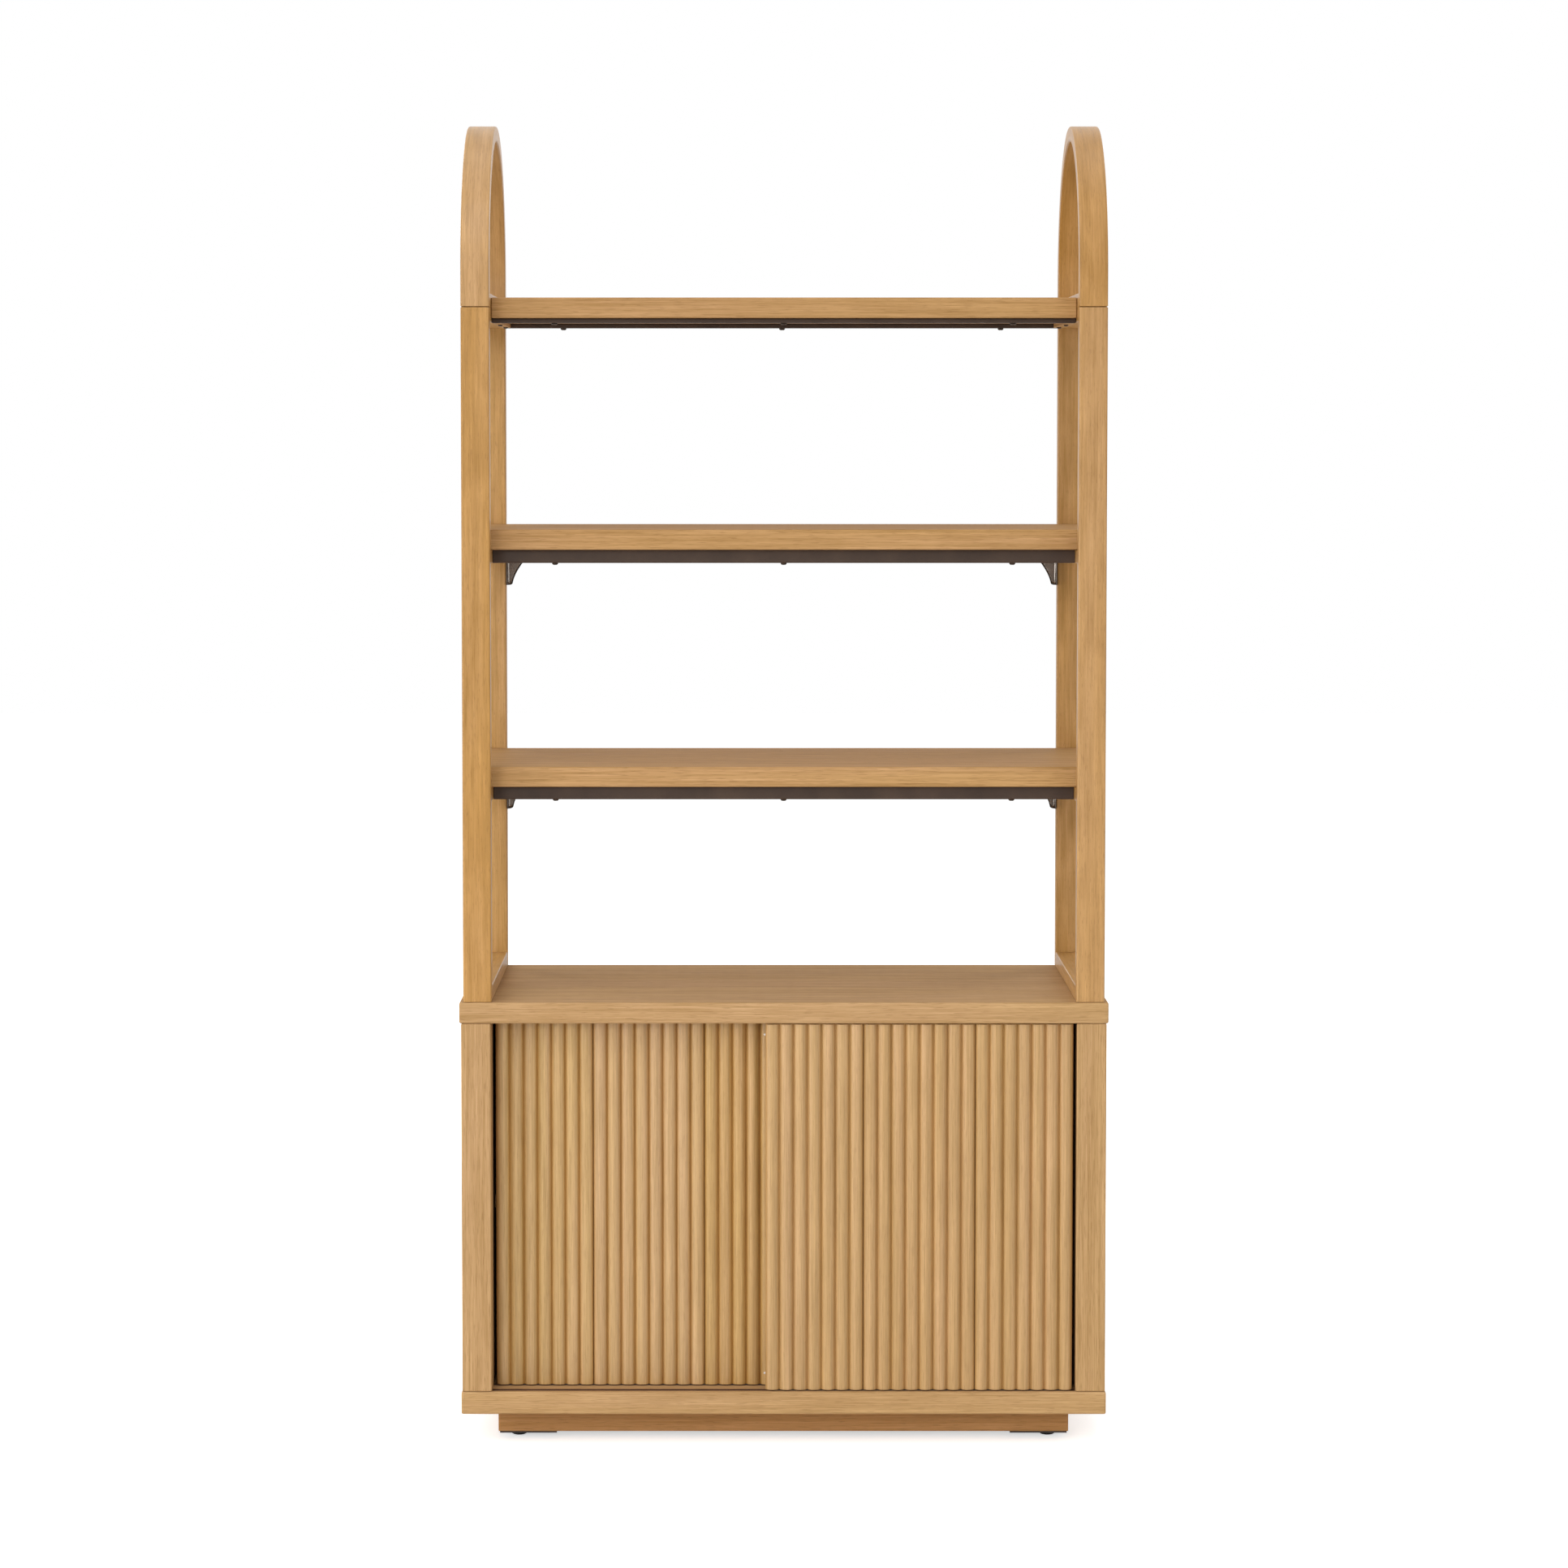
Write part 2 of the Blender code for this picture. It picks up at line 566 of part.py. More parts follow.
# Pressed gussets: a web at the rear, flanges along the shelf and the post, and a lip along the curved edge
gusset_front = shelf_rear - GUSSET_LAP
gusset_rear = gusset_front + GUSSET_DEPTH
gusset_middle = (gusset_front + gusset_rear) / 2
curved_edge = []
for step in range(GUSSET_STEPS + 1):
    drop = SEAT_GAP + (GUSSET_HEIGHT - FOOT_RADIUS - SEAT_GAP) * step / GUSSET_STEPS
    width = GUSSET_FOOT + GUSSET_SPREAD * (1 - drop / GUSSET_HEIGHT) ** GUSSET_SWEEP
    curved_edge.append((-width, -drop))
foot_x = curved_edge[-1][0] + FOOT_RADIUS
for step in range(1, FOOT_STEPS + 1):
    angle = math.radians(90) * step / FOOT_STEPS
    curved_edge.append((foot_x - FOOT_RADIUS * math.cos(angle),
                        FOOT_RADIUS - GUSSET_HEIGHT - FOOT_RADIUS * math.sin(angle)))
gusset_outline = curved_edge + [(-SEAT_GAP, -GUSSET_HEIGHT), (-SEAT_GAP, -SEAT_GAP)]
pocket_outline = inset(gusset_outline, GUSSET_WALL)
pocket_front = gusset_front - CUT_OVERRUN
pocket_rear = gusset_rear - GUSSET_WEB
for shelf_name, shelf_level in (("middle", middle_shelf_low), ("lower", lower_shelf_low)):
    for side, sign in SIDES:
        name = shelf_name + "_gusset_" + side
        gusset = extruded(name, [(sign * x, z) for x, z in gusset_outline], GUSSET_DEPTH, ALONG_Y,
                          (sign * frame_inner, gusset_middle, shelf_level), gusset_steel)
        cut(gusset, extruded(name + "_pocket", [(sign * x, z) for x, z in pocket_outline],
                             pocket_rear - pocket_front, ALONG_Y,
                             (sign * frame_inner, (pocket_front + pocket_rear) / 2, shelf_level),
                             collection=cutters))
        low_x, high_x = across(sign, frame_inner - GUSSET_FOOT - GUSSET_SPREAD - CUT_OVERRUN,
                               frame_inner - SEAT_GAP - GUSSET_WALL)
        cut(gusset, cut_box(name + "_lip_end",
                            (low_x, pocket_front, shelf_level - GUSSET_HEIGHT - CUT_OVERRUN),
                            (high_x, pocket_rear - GUSSET_LIP, shelf_level - SEAT_GAP - GUSSET_WALL)))

# Sliding doors, each of three fluted boards with tongue and groove
door_width = side_inner - DOOR_SIDE_GAP + DOOR_OVERLAP / 2
rib_pitch = door_width / sum(BOARD_RIBS)
rib_chord = rib_pitch - VALLEY_FLAT
rib_radius = (rib_chord ** 2 / 4 + RIB_DEPTH ** 2) / (2 * RIB_DEPTH)
rib_half_angle = math.asin(rib_chord / 2 / rib_radius)
door_front = -GUIDE_SETBACK
door_rear = door_front + DOOR_THICKNESS
valley_y = door_front + RIB_DEPTH
tongue_front = door_front + BOARD_TONGUE_SETBACK
tongue_rear = tongue_front + BOARD_TONGUE_THICKNESS


def fluted_board(name, low_x, high_x, ribs, height, origin):
    # Seen from above, a strip with a fluted front edge and a straight rear edge, drawn upward
    front_edge = [(low_x, valley_y)]
    first_rib = (low_x + high_x - rib_pitch * (ribs - 1)) / 2
    for rib in range(ribs):
        for step in range(RIB_STEPS + 1):
            angle = rib_half_angle * (2 * step / RIB_STEPS - 1)
            front_edge.append((first_rib + rib_pitch * rib + rib_radius * math.sin(angle),
                               door_front + rib_radius * (1 - math.cos(angle))))
    front_edge.append((high_x, valley_y))
    shape = bmesh.new()
    bmesh.ops.create_grid(shape, x_segments=len(front_edge) - 1, y_segments=1, size=1)
    columns = sorted(shape.verts, key=lambda corner: (corner.co.x, corner.co.y))
    for (x, y), front_corner, rear_corner in zip(front_edge, columns[::2], columns[1::2]):
        front_corner.co = (x, y, -height / 2)
        rear_corner.co = (x, door_rear, -height / 2)
    raised = bmesh.ops.extrude_face_region(shape, geom=shape.faces[:])["geom"]
    bmesh.ops.translate(shape, vec=(0, 0, height),
                        verts=[part for part in raised if isinstance(part, bmesh.types.BMVert)])
    bmesh.ops.recalc_face_normals(shape, faces=shape.faces)
    mesh = bpy.data.meshes.new(name)
    shape.to_mesh(mesh)
    shape.free()
    mesh.shade_smooth()
    mesh.set_sharp_from_angle(angle=EDGE_ANGLE)
    return add_object(name, mesh, door_wood, Matrix.Translation(origin), parts)


door_low = bottom_high + DOOR_FOOT_GAP
door_shoulder = top_low - DOOR_HEAD_GAP
door_high = door_shoulder + HEAD_TONGUE_HEIGHT
door_middle = (door_low + door_high) / 2
track_floor = bottom_high - TRACK_DEPTH
runner_low = track_floor + SEAT_GAP
runner_high = door_low - SEAT_GAP
half_stem = RUNNER_STEM_WIDTH / 2
half_runner = RUNNER_WIDTH / 2
half_track = half_runner + SLIDE_PLAY
track_outer = half_track + TRACK_WALL
runner_outline = [
    (-half_runner, runner_low - door_middle),
    (half_runner, runner_low - door_middle),
    (half_runner, runner_high - door_middle),
    (half_stem, runner_high - door_middle),
    (half_stem, runner_high + RUNNER_STEM_HEIGHT - door_middle),
    (-half_stem, runner_high + RUNNER_STEM_HEIGHT - door_middle),
    (-half_stem, runner_high - door_middle),
    (-half_runner, runner_high - door_middle),
]
track_low = track_floor - TRACK_WALL
track_outline = [
    (-track_outer, 0),
    (track_outer, 0),
    (track_outer, bottom_high - track_low),
    (half_track, bottom_high - track_low),
    (half_track, TRACK_WALL),
    (-half_track, TRACK_WALL),
    (-half_track, bottom_high - track_low),
    (-track_outer, bottom_high - track_low),
]
for (side, sign), track_name in zip(SIDES, ("rear_track", "front_track")):
    guide_y = front + DOOR_SETBACKS[side] + GUIDE_SETBACK
    door_x = sign * (side_inner - DOOR_SIDE_GAP - door_width / 2)
    origin = (door_x, guide_y, door_middle)
    cut_low_x = door_x - door_width / 2 - CUT_OVERRUN
    cut_high_x = door_x + door_width / 2 + CUT_OVERRUN
    half_head = HEAD_TONGUE_THICKNESS / 2
    slot_half = half_stem + SEAT_GAP
    door_cuts = (
        cut_box(side + "_head_front", (cut_low_x, guide_y + door_front - CUT_OVERRUN, door_shoulder),
                (cut_high_x, guide_y - half_head, door_high + CUT_OVERRUN)),
        cut_box(side + "_head_rear", (cut_low_x, guide_y + half_head, door_shoulder),
                (cut_high_x, guide_y + door_rear + CUT_OVERRUN, door_high + CUT_OVERRUN)),
        cut_box(side + "_foot_slot", (cut_low_x, guide_y - slot_half, door_low - CUT_OVERRUN),
                (cut_high_x, guide_y + slot_half, runner_high + RUNNER_STEM_HEIGHT + SEAT_GAP)),
    )
    ribs_before = 0
    for number, ribs in enumerate(BOARD_RIBS, start=1):
        low_x = rib_pitch * ribs_before - door_width / 2
        high_x = low_x + rib_pitch * ribs
        ribs_before += ribs
        has_groove = number > 1
        has_tongue = number < len(BOARD_RIBS)
        name = side + "_door_board_" + str(number)
        board = fluted_board(name, low_x + SEAT_GAP / 2 * has_groove, high_x - SEAT_GAP / 2 * has_tongue, ribs,
                             door_high - door_low, origin)
        if has_tongue:
            tip_x = door_x + high_x + BOARD_TONGUE_LENGTH - SEAT_GAP / 2
            fuse(board, cut_box(name + "_tongue",
                                (door_x + high_x - BOARD_TONGUE_LENGTH, guide_y + tongue_front, door_low),
                                (tip_x, guide_y + tongue_rear, door_high)))
        if has_groove:
            floor_x = door_x + low_x + BOARD_TONGUE_LENGTH + SEAT_GAP / 2
            cut(board, cut_box(name + "_groove",
                               (door_x + low_x - CUT_OVERRUN, guide_y + tongue_front - SEAT_GAP,
                                door_low - CUT_OVERRUN),
                               (floor_x, guide_y + tongue_rear + SEAT_GAP, door_high + CUT_OVERRUN)))
        for tool in door_cuts:
            cut(board, tool)
    extruded(side + "_door_runner", runner_outline, door_width - RUNNER_END_INSET * 2, ALONG_X, origin,
             runner_nylon)
    extruded(track_name, track_outline, (side_inner - SEAT_GAP) * 2, ALONG_X, (0, guide_y, track_low),
             track_plastic)
    track_cut = track_outer + SEAT_GAP
    cut(cabinet_bottom, cut_box(track_name + "_rebate",
                                (-side_inner, guide_y - track_cut, track_low - SEAT_GAP),
                                (side_inner, guide_y + track_cut, bottom_high + CUT_OVERRUN)))
    half_groove = HEAD_GROOVE_WIDTH / 2
    cut(cabinet_top, cut_box(side + "_head_groove",
                             (-side_inner, guide_y - half_groove, top_low - CUT_OVERRUN),
                             (side_inner, guide_y + half_groove, top_low + HEAD_GROOVE_DEPTH)))
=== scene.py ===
import math

import bpy
import numpy as np
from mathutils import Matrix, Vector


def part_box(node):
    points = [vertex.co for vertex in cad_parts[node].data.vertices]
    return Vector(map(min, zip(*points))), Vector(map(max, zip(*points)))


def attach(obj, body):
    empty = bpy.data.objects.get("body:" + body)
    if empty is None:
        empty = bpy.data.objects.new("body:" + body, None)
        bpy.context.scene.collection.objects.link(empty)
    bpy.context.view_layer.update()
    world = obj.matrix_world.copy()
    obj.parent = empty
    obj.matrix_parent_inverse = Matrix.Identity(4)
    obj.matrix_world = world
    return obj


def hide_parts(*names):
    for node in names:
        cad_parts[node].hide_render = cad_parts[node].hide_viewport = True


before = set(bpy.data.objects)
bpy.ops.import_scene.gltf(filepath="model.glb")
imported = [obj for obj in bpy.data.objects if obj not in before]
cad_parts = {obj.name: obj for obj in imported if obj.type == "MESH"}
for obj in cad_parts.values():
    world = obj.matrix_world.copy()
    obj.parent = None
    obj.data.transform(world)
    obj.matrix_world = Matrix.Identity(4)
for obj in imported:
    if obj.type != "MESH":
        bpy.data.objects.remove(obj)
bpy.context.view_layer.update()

# A bookcase on a cabinet with two fluted sliding doors. Metres, front towards -Y, floor at Z 0.
rootBody = "bookcase"
sideSigns = {"left": -1, "right": 1}
print("frame loaded:", len(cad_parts), "CAD nodes")


def hexColour(code):
    # sRGB hex to linear: v / 12.92 below 0.04045, else ((v + 0.055) / 1.055) ^ 2.4
    levels = np.array([int(code[place:place + 2], 16) for place in (0, 2, 4)]) / 255
    bright = np.where(levels <= 0.04045, levels / 12.92, ((levels + 0.055) / 1.055) ** 2.4)
    return (*bright.tolist(), 1.0)


def addNode(tree, kind, feeds, output=0, **settings):
    # One node with its settings; feeds gives an input its value or the socket that feeds it
    node = tree.nodes.new("ShaderNode" + kind)
    for key, value in settings.items():
        setattr(node, key, value)
    for key, feed in feeds.items():
        if isinstance(feed, bpy.types.NodeSocket):
            tree.links.new(feed, node.inputs[key])
        else:
            node.inputs[key].default_value = feed
    return node.outputs[output]


shaderSockets = {"metallic": "Metallic", "roughness": "Roughness", "ior": "IOR",
                 "specular": "Specular IOR Level", "coat": "Coat Weight",
                 "coatRoughness": "Coat Roughness", "colour": "Base Color",
                 "emission": "Emission Color"}


def startMaterial(name, look):
    # A new material and its Principled shader, with the look's constant values on its own sockets
    material = bpy.data.materials.new(name)
    material.use_nodes = True
    tree = material.node_tree
    shader = tree.nodes["Principled BSDF"]
    for key, socket in shaderSockets.items():
        if key in look:
            shader.inputs[socket].default_value = look[key]
    return material, tree, shader


def linkShader(tree, shader, look, pattern, colour, shine, height):
    # The roughness moves a little with the shine pattern, and the height is a fine bump
    gloss = addNode(tree, "MapRange", {"Value": shine, "From Min": pattern["glossFrom"],
                                       "From Max": pattern["glossTo"],
                                       "To Min": look["roughness"] + pattern["glossLow"],
                                       "To Max": look["roughness"] + pattern["glossHigh"]})
    bump = addNode(tree, "Bump", {"Height": height, "Strength": pattern["bumpStrength"],
                                  "Distance": look["relief"]})
    for socket, source in (("Base Color", colour), ("Roughness", gloss), ("Normal", bump)):
        tree.links.new(source, shader.inputs[socket])


# Rubberwood edge-glued boards, planed, sanded and lacquered: a warm light brown with fine straight
# fibres, short dark pore dashes that run with the grain, and soft drifts between golden and rosy
# wood. band, streak and fibre are (width, length, share of the figure), drift is the size of the
# golden-rosy change, mottle the clouds' share, poreLong a pore's length, poreFrom the noise level
# from which it shows and relief the height of the bump. All lengths are in metres
frameLook = dict(roughness=0.38, specular=0.32, coat=0.15, coatRoughness=0.18,
                 band=(0.010, 0.30, 0.25), streak=(0.0036, 0.10, 0.30), fibre=(0.0014, 0.045, 0.25),
                 mottle=0.20, softness=0.14, drift=(0.030, 0.35), blushAmount=0.55,
                 poreLong=0.010, poreFrom=0.60, poreAmount=0.26, relief=0.00006)
panelLook = dict(roughness=0.58, specular=0.03, coat=0.0, coatRoughness=0.25,
                 band=(0.009, 0.45, 0.22), streak=(0.0030, 0.18, 0.34), fibre=(0.0013, 0.075, 0.36),
                 mottle=0.08, softness=0.16, drift=(0.030, 0.60), blushAmount=0.60,
                 poreLong=0.020, poreFrom=0.575, poreAmount=0.30, relief=0.00010)
doorLook = dict(roughness=0.36, specular=0.38, coat=0.22, coatRoughness=0.18,
                band=(0.009, 0.40, 0.25), streak=(0.0030, 0.16, 0.32), fibre=(0.0013, 0.070, 0.35),
                mottle=0.08, softness=0.16, drift=(0.018, 0.80), blushAmount=0.70,
                poreLong=0.016, poreFrom=0.575, poreAmount=0.18, relief=0.00010)
woodLooks = {
    # Posts, rails and arches under a clear gloss lacquer: golden, with soft highlights
    "lacquered frame rubberwood": dict(
        frameLook, light="C69654", dark="A17638", blush="C69A66", pore="7E562A"),
    # The same lacquered wood from rosier boards
    "rosy frame rubberwood": dict(
        frameLook, light="C89C64", dark="A47C49", blush="CAA174", pore="825B34"),
    # Cabinet panels, satin lacquer rolled on thin: even, with hardly any shine
    "satin panel rubberwood": dict(
        panelLook, light="C9A474", dark="A37F52", blush="C8A27B", pore="7B5932"),
    # Shelf boards in the same satin lacquer: slightly browner
    "satin shelf rubberwood": dict(
        panelLook, light="C79E6B", dark="A07A4B", blush="C79D74", pore="76542E", roughness=0.55,
        specular=0.025, coatRoughness=0.20),
    # Door boards, ribs milled and then sprayed with lacquer: a highlight runs along each rib
    "milled door rubberwood": dict(
        doorLook, light="CBA46E", dark="A78453", blush="CBA377", pore="876038"),
    # The same milled boards from more golden wood
    "golden door rubberwood": dict(
        doorLook, light="CBA467", dark="A5804A", blush="C8A06E", pore="845C32", blushAmount=0.80),
    # Plinth boards under a thin lacquer: darker brown, with more open pores
    "plinth rubberwood": dict(
        panelLook, light="BF8F5B", dark="A0723F", blush="C09062", pore="71502C", roughness=0.55,
        specular=0.2, coatRoughness=0.30, band=(0.009, 0.40, 0.22), streak=(0.0030, 0.16, 0.34),
        fibre=(0.0013, 0.070, 0.36), blushAmount=0.50, poreFrom=0.60, poreAmount=0.40),
    # Beech-faced fibreboard, rolled with a matt veneer: even, dull, hardly any relief
    "matt beech-faced fibreboard": dict(
        light="C4A177", dark="AE8A5F", blush="C3A07C", pore="8E6A42", roughness=0.62, specular=0.2,
        coat=0.0, coatRoughness=0.3, band=(0.020, 0.50, 0.30), streak=(0.0040, 0.16, 0.30),
        fibre=(0.0014, 0.060, 0.35), mottle=0.05, softness=0.20, drift=(0.050, 0.60),
        blushAmount=0.40, poreLong=0.012, poreFrom=0.62, poreAmount=0.35, relief=0.00005),
}
# What all woods share. The pores of the real wood are 0.2 to 0.3 mm wide. They are drawn 0.9 mm
# wide, because finer ones do not show. Clouds in the wood are 18 by 45 mm
woodPattern = dict(poreWide=0.0009, poreFade=0.07, cloudWide=0.018, cloudLong=0.045, rosyFrom=0.38,
                   rosyTo=0.62, toneAndShadePowers={"Red": 0.6, "Green": 1.0, "Blue": 2.0}, glossFrom=0.3,
                   glossTo=0.7, glossLow=-0.05, glossHigh=0.06, bumpStrength=0.6)
grainTurns = {"X": (0, math.radians(90), 0), "Y": (math.radians(-90), 0, 0), "Z": (0, 0, 0)}


def makeWood(finish, name=None, grainAxis=None, shift=(0, 0, 0)):
    # The pattern reads (across, across, along) in metres: from the piece's grain attribute, whose
    # alpha is its tone, or from Object coordinates turned so that the grain axis becomes the third
    # one. Figure = shares x (band + streak + fibre + clouds), then dark to light, rosy drift,
    # pores, tone. A Mix node's inputs 0, 6 and 7 are its factor and colours, its output 2 a colour
    look, p = woodLooks[finish], woodPattern
    dark, light, blush, pores = (hexColour(look[key]) for key in ("dark", "light", "blush", "pore"))
    material, tree, shader = startMaterial(name or finish, look)
    if grainAxis is None:
        grain = addNode(tree, "Attribute", {}, "Vector", attribute_name="grain")
    else:
        place = addNode(tree, "TexCoord", {}, "Object")
        grain = addNode(tree, "Mapping", {"Vector": place, "Rotation": grainTurns[grainAxis],
                                          "Location": shift})

    def stretchedNoise(wide, long, detail, distortion=0.0):
        # Noise whose spots are wide metres across the grain and long metres along it
        scale = (1 / wide, 1 / wide, 1 / long)
        scaled = addNode(tree, "Mapping", {"Vector": grain, "Scale": scale})
        return addNode(tree, "TexNoise", {"Vector": scaled, "Scale": 1.0, "Detail": detail,
                                          "Distortion": distortion})

    bandWide, bandLong, bandShare = look["band"]
    streakWide, streakLong, streakShare = look["streak"]
    fibreWide, fibreLong, fibreShare = look["fibre"]
    fibre = stretchedNoise(fibreWide, fibreLong, detail=2.0)
    figure = addNode(tree, "Math", {0: fibre, 1: fibreShare}, operation="MULTIPLY")
    band = stretchedNoise(bandWide, bandLong, detail=3.0, distortion=0.4)
    streak = stretchedNoise(streakWide, streakLong, detail=2.0, distortion=0.2)
    cloud = stretchedNoise(p["cloudWide"], p["cloudLong"], detail=1.0)
    for noise, share in ((band, bandShare), (streak, streakShare), (cloud, look["mottle"])):
        figure = addNode(tree, "Math", {0: noise, 1: share, 2: figure}, operation="MULTIPLY_ADD")
    lightness = addNode(tree, "MapRange", {"Value": figure, "From Min": 0.5 - look["softness"],
                                           "From Max": 0.5 + look["softness"]})
    drift = stretchedNoise(*look["drift"], detail=1.0)
    rosy = addNode(tree, "MapRange", {"Value": drift, "From Min": p["rosyFrom"],
                                      "From Max": p["rosyTo"], "To Max": look["blushAmount"]})
    dash = stretchedNoise(p["poreWide"], look["poreLong"], detail=1.0)
    pore = addNode(tree, "MapRange", {"Value": dash, "From Min": look["poreFrom"],
                                      "From Max": look["poreFrom"] + p["poreFade"],
                                      "To Max": look["poreAmount"]})
    golden = addNode(tree, "Mix", {0: lightness, 6: dark, 7: light}, 2, data_type="RGBA")
    blushed = addNode(tree, "Mix", {0: lightness, 6: dark, 7: blush}, 2, data_type="RGBA")
    coloured = addNode(tree, "Mix", {0: rosy, 6: golden, 7: blushed}, 2, data_type="RGBA")
    coloured = addNode(tree, "Mix", {0: pore, 6: coloured, 7: pores}, 2, data_type="RGBA")
    if grainAxis is None:
        # The tone is the wood's own, with painted shade in the door flutes and painted light on the
        # rear posts. A darker tone is also a browner one: red x tone ^ 0.6, green x tone, blue x
        # tone ^ 2
        tone = grain.node.outputs["Alpha"]
        toneAndShade = addNode(tree, "CombineColor", {
            channel: addNode(tree, "Math", {0: tone, 1: power}, operation="POWER")
            for channel, power in p["toneAndShadePowers"].items()})
        coloured = addNode(tree, "Mix", {0: 1.0, 6: coloured, 7: toneAndShade}, 2, data_type="RGBA",
                           blend_type="MULTIPLY")
    height = addNode(tree, "Math", {0: fibre, 1: pore}, operation="SUBTRACT")
    linkShader(tree, shader, look, p, coloured, fibre, height)
    return material


frameWood = makeWood("lacquered frame rubberwood")
rosyFrameWood = makeWood("rosy frame rubberwood")
shelfWood = makeWood("satin shelf rubberwood")
doorWood = makeWood("milled door rubberwood")
goldenDoorWood = makeWood("golden door rubberwood")
panelWoodLong = makeWood("satin panel rubberwood", "satin panel rubberwood, grain lengthwise", "X")
panelWoodUpright = makeWood("satin panel rubberwood", "satin panel rubberwood, grain upright", "Z")
plinthWoodLong = makeWood("plinth rubberwood", "plinth rubberwood, grain lengthwise", "X",
                          shift=(0.3, 0.1, 0))
plinthWoodDeep = makeWood("plinth rubberwood", "plinth rubberwood, grain front to rear", "Y")
backBoard = makeWood("matt beech-faced fibreboard", None, "Z", shift=(0.11, 0.07, 0.4))

finishPattern = dict(cloudFrom=0.3, cloudTo=0.7, cloudShare=0.5, glossFrom=0.5, glossTo=1.0,
                     glossLow=-0.06, glossHigh=0.06, bumpStrength=0.5)
usualFinish = dict(metallic=0.0, specular=0.5, coat=0.0, coatRoughness=0.2, relief=0.00002)


def makeFinish(name, ownLook):
    # A coloured finish with soft cloudy variation, fine grit in its relief and gloss that follows
    # both. cloud and grit are the sizes of their spots in metres
    look, p = {**usualFinish, **ownLook}, finishPattern
    material, tree, shader = startMaterial(name, look)
    place = addNode(tree, "TexCoord", {}, "Object")
    cloud = addNode(tree, "TexNoise", {"Vector": place, "Scale": 1 / look["cloud"], "Detail": 3.0})
    grit = addNode(tree, "TexNoise", {"Vector": place, "Scale": 1 / look["grit"], "Detail": 2.0})
    spread = addNode(tree, "MapRange", {"Value": cloud, "From Min": p["cloudFrom"],
                                        "From Max": p["cloudTo"]})
    dark, light = hexColour(look["dark"]), hexColour(look["light"])
    tint = addNode(tree, "Mix", {0: spread, 6: dark, 7: light}, 2, data_type="RGBA")
    # A painted highlight: a lighter colour where the piece's attribute marks it
    if "bendHighlight" in look:
        highlightMask = addNode(tree, "Attribute", {}, "Fac", attribute_name="bendHighlightShare")
        tint = addNode(tree, "Mix", {0: highlightMask, 6: tint, 7: hexColour(look["bendHighlight"])}, 2,
                       data_type="RGBA")
    both = addNode(tree, "Math", {0: cloud, 1: p["cloudShare"], 2: grit}, operation="MULTIPLY_ADD")
    linkShader(tree, shader, look, p, tint, both, grit)
    return material


# Rolled steel with a baked bronze-brown powder coat: satin, faintly pebbled, edges catch soft light
barSteel = makeFinish("brown powder-coated steel", dict(
    light="4A392D", dark="3A2B21", roughness=0.46, specular=0.3, cloud=0.05,
    grit=0.0012, relief=0.00004))
# Pressed steel, dipped and baked in brown gloss enamel: dark, with a painted highlight in its inner
# bends
gussetSteel = makeFinish("brown enamelled pressed steel", dict(
    light="7A6D63", dark="574B43", bendHighlight="C9C2BA", metallic=0.8, roughness=0.30, coat=0.4,
    coatRoughness=0.10, cloud=0.03, grit=0.002))
# The sheared edge of the same sheet, where the enamel is thin over dark scale: nearly black, dull
gussetEdge = makeFinish("sheared enamelled edge", dict(
    light="3A2C22", dark="2A1F18", metallic=0.2, roughness=0.50, cloud=0.004, grit=0.0008))
# Cold-headed steel screws, blackened in hot oxide: dark with a soft metal shine
screwSteel = makeFinish("blackened screw steel", dict(
    light="5A4C42", dark="3E332C", metallic=0.7, roughness=0.34, cloud=0.004, grit=0.0008))
# Blanked mild steel plate, phosphated: dark grey and dull, a little cloudy
plateSteel = makeFinish("phosphated steel plate", dict(
    light="4E4844", dark="3A3532", metallic=0.6, roughness=0.45, cloud=0.02, grit=0.001,
    relief=0.00003))
# Turned steel shelf pins, nickel plated: bright and smooth
pinSteel = makeFinish("nickel-plated steel", dict(
    light="C4C1BA", dark="ABA8A1", metallic=1.0, roughness=0.22, cloud=0.006, grit=0.0008,
    relief=0.00001))
# Extruded brown PVC track: matt brown walls, faintly cloudy
trackPlastic = makeFinish("extruded brown PVC", dict(
    light="5C3A24", dark="472A18", roughness=0.45, cloud=0.02, grit=0.001))
# Cast nylon strip with graphite, cut to length: brown-black as graphite nylon is, and waxy; its
# near-black also paints the shade in the gap under the doors
runnerNylonShade = makeFinish("dark graphite nylon", dict(
    light="3E322A", dark="30261F", roughness=0.42, ior=1.53, cloud=0.02, grit=0.001))
# Cast silicone bumper: milky, smooth and a little shiny, so that it shows as a pale dot on the wood
bumperSilicone = makeFinish("milky silicone", dict(
    light="DAD4CD", dark="C6BFB7", roughness=0.22, ior=1.41, cloud=0.003, grit=0.0006,
    relief=0.00001))
# Injection-moulded polypropylene foot: dark grey, satin with a fine spark-eroded texture
glidePlastic = makeFinish("moulded dark polypropylene", dict(
    light="353230", dark="272523", roughness=0.42, cloud=0.01, grit=0.0009,
    relief=0.00004))
print("materials made")

leastRadius = 0.0001      # no rounded corner gets sharper than this
grainSteps = np.array([1, 0.7, 3.1])      # a shift moves a bar's grain by this much along each axis


def quarterTurn(steps):
    # Angles from 0 to 90 degrees
    return np.linspace(0, np.pi / 2, steps + 1)


def fullTurn(steps):
    # Angles once round, without the last one, which would repeat the first
    return np.linspace(0, 2 * np.pi, steps, endpoint=False)


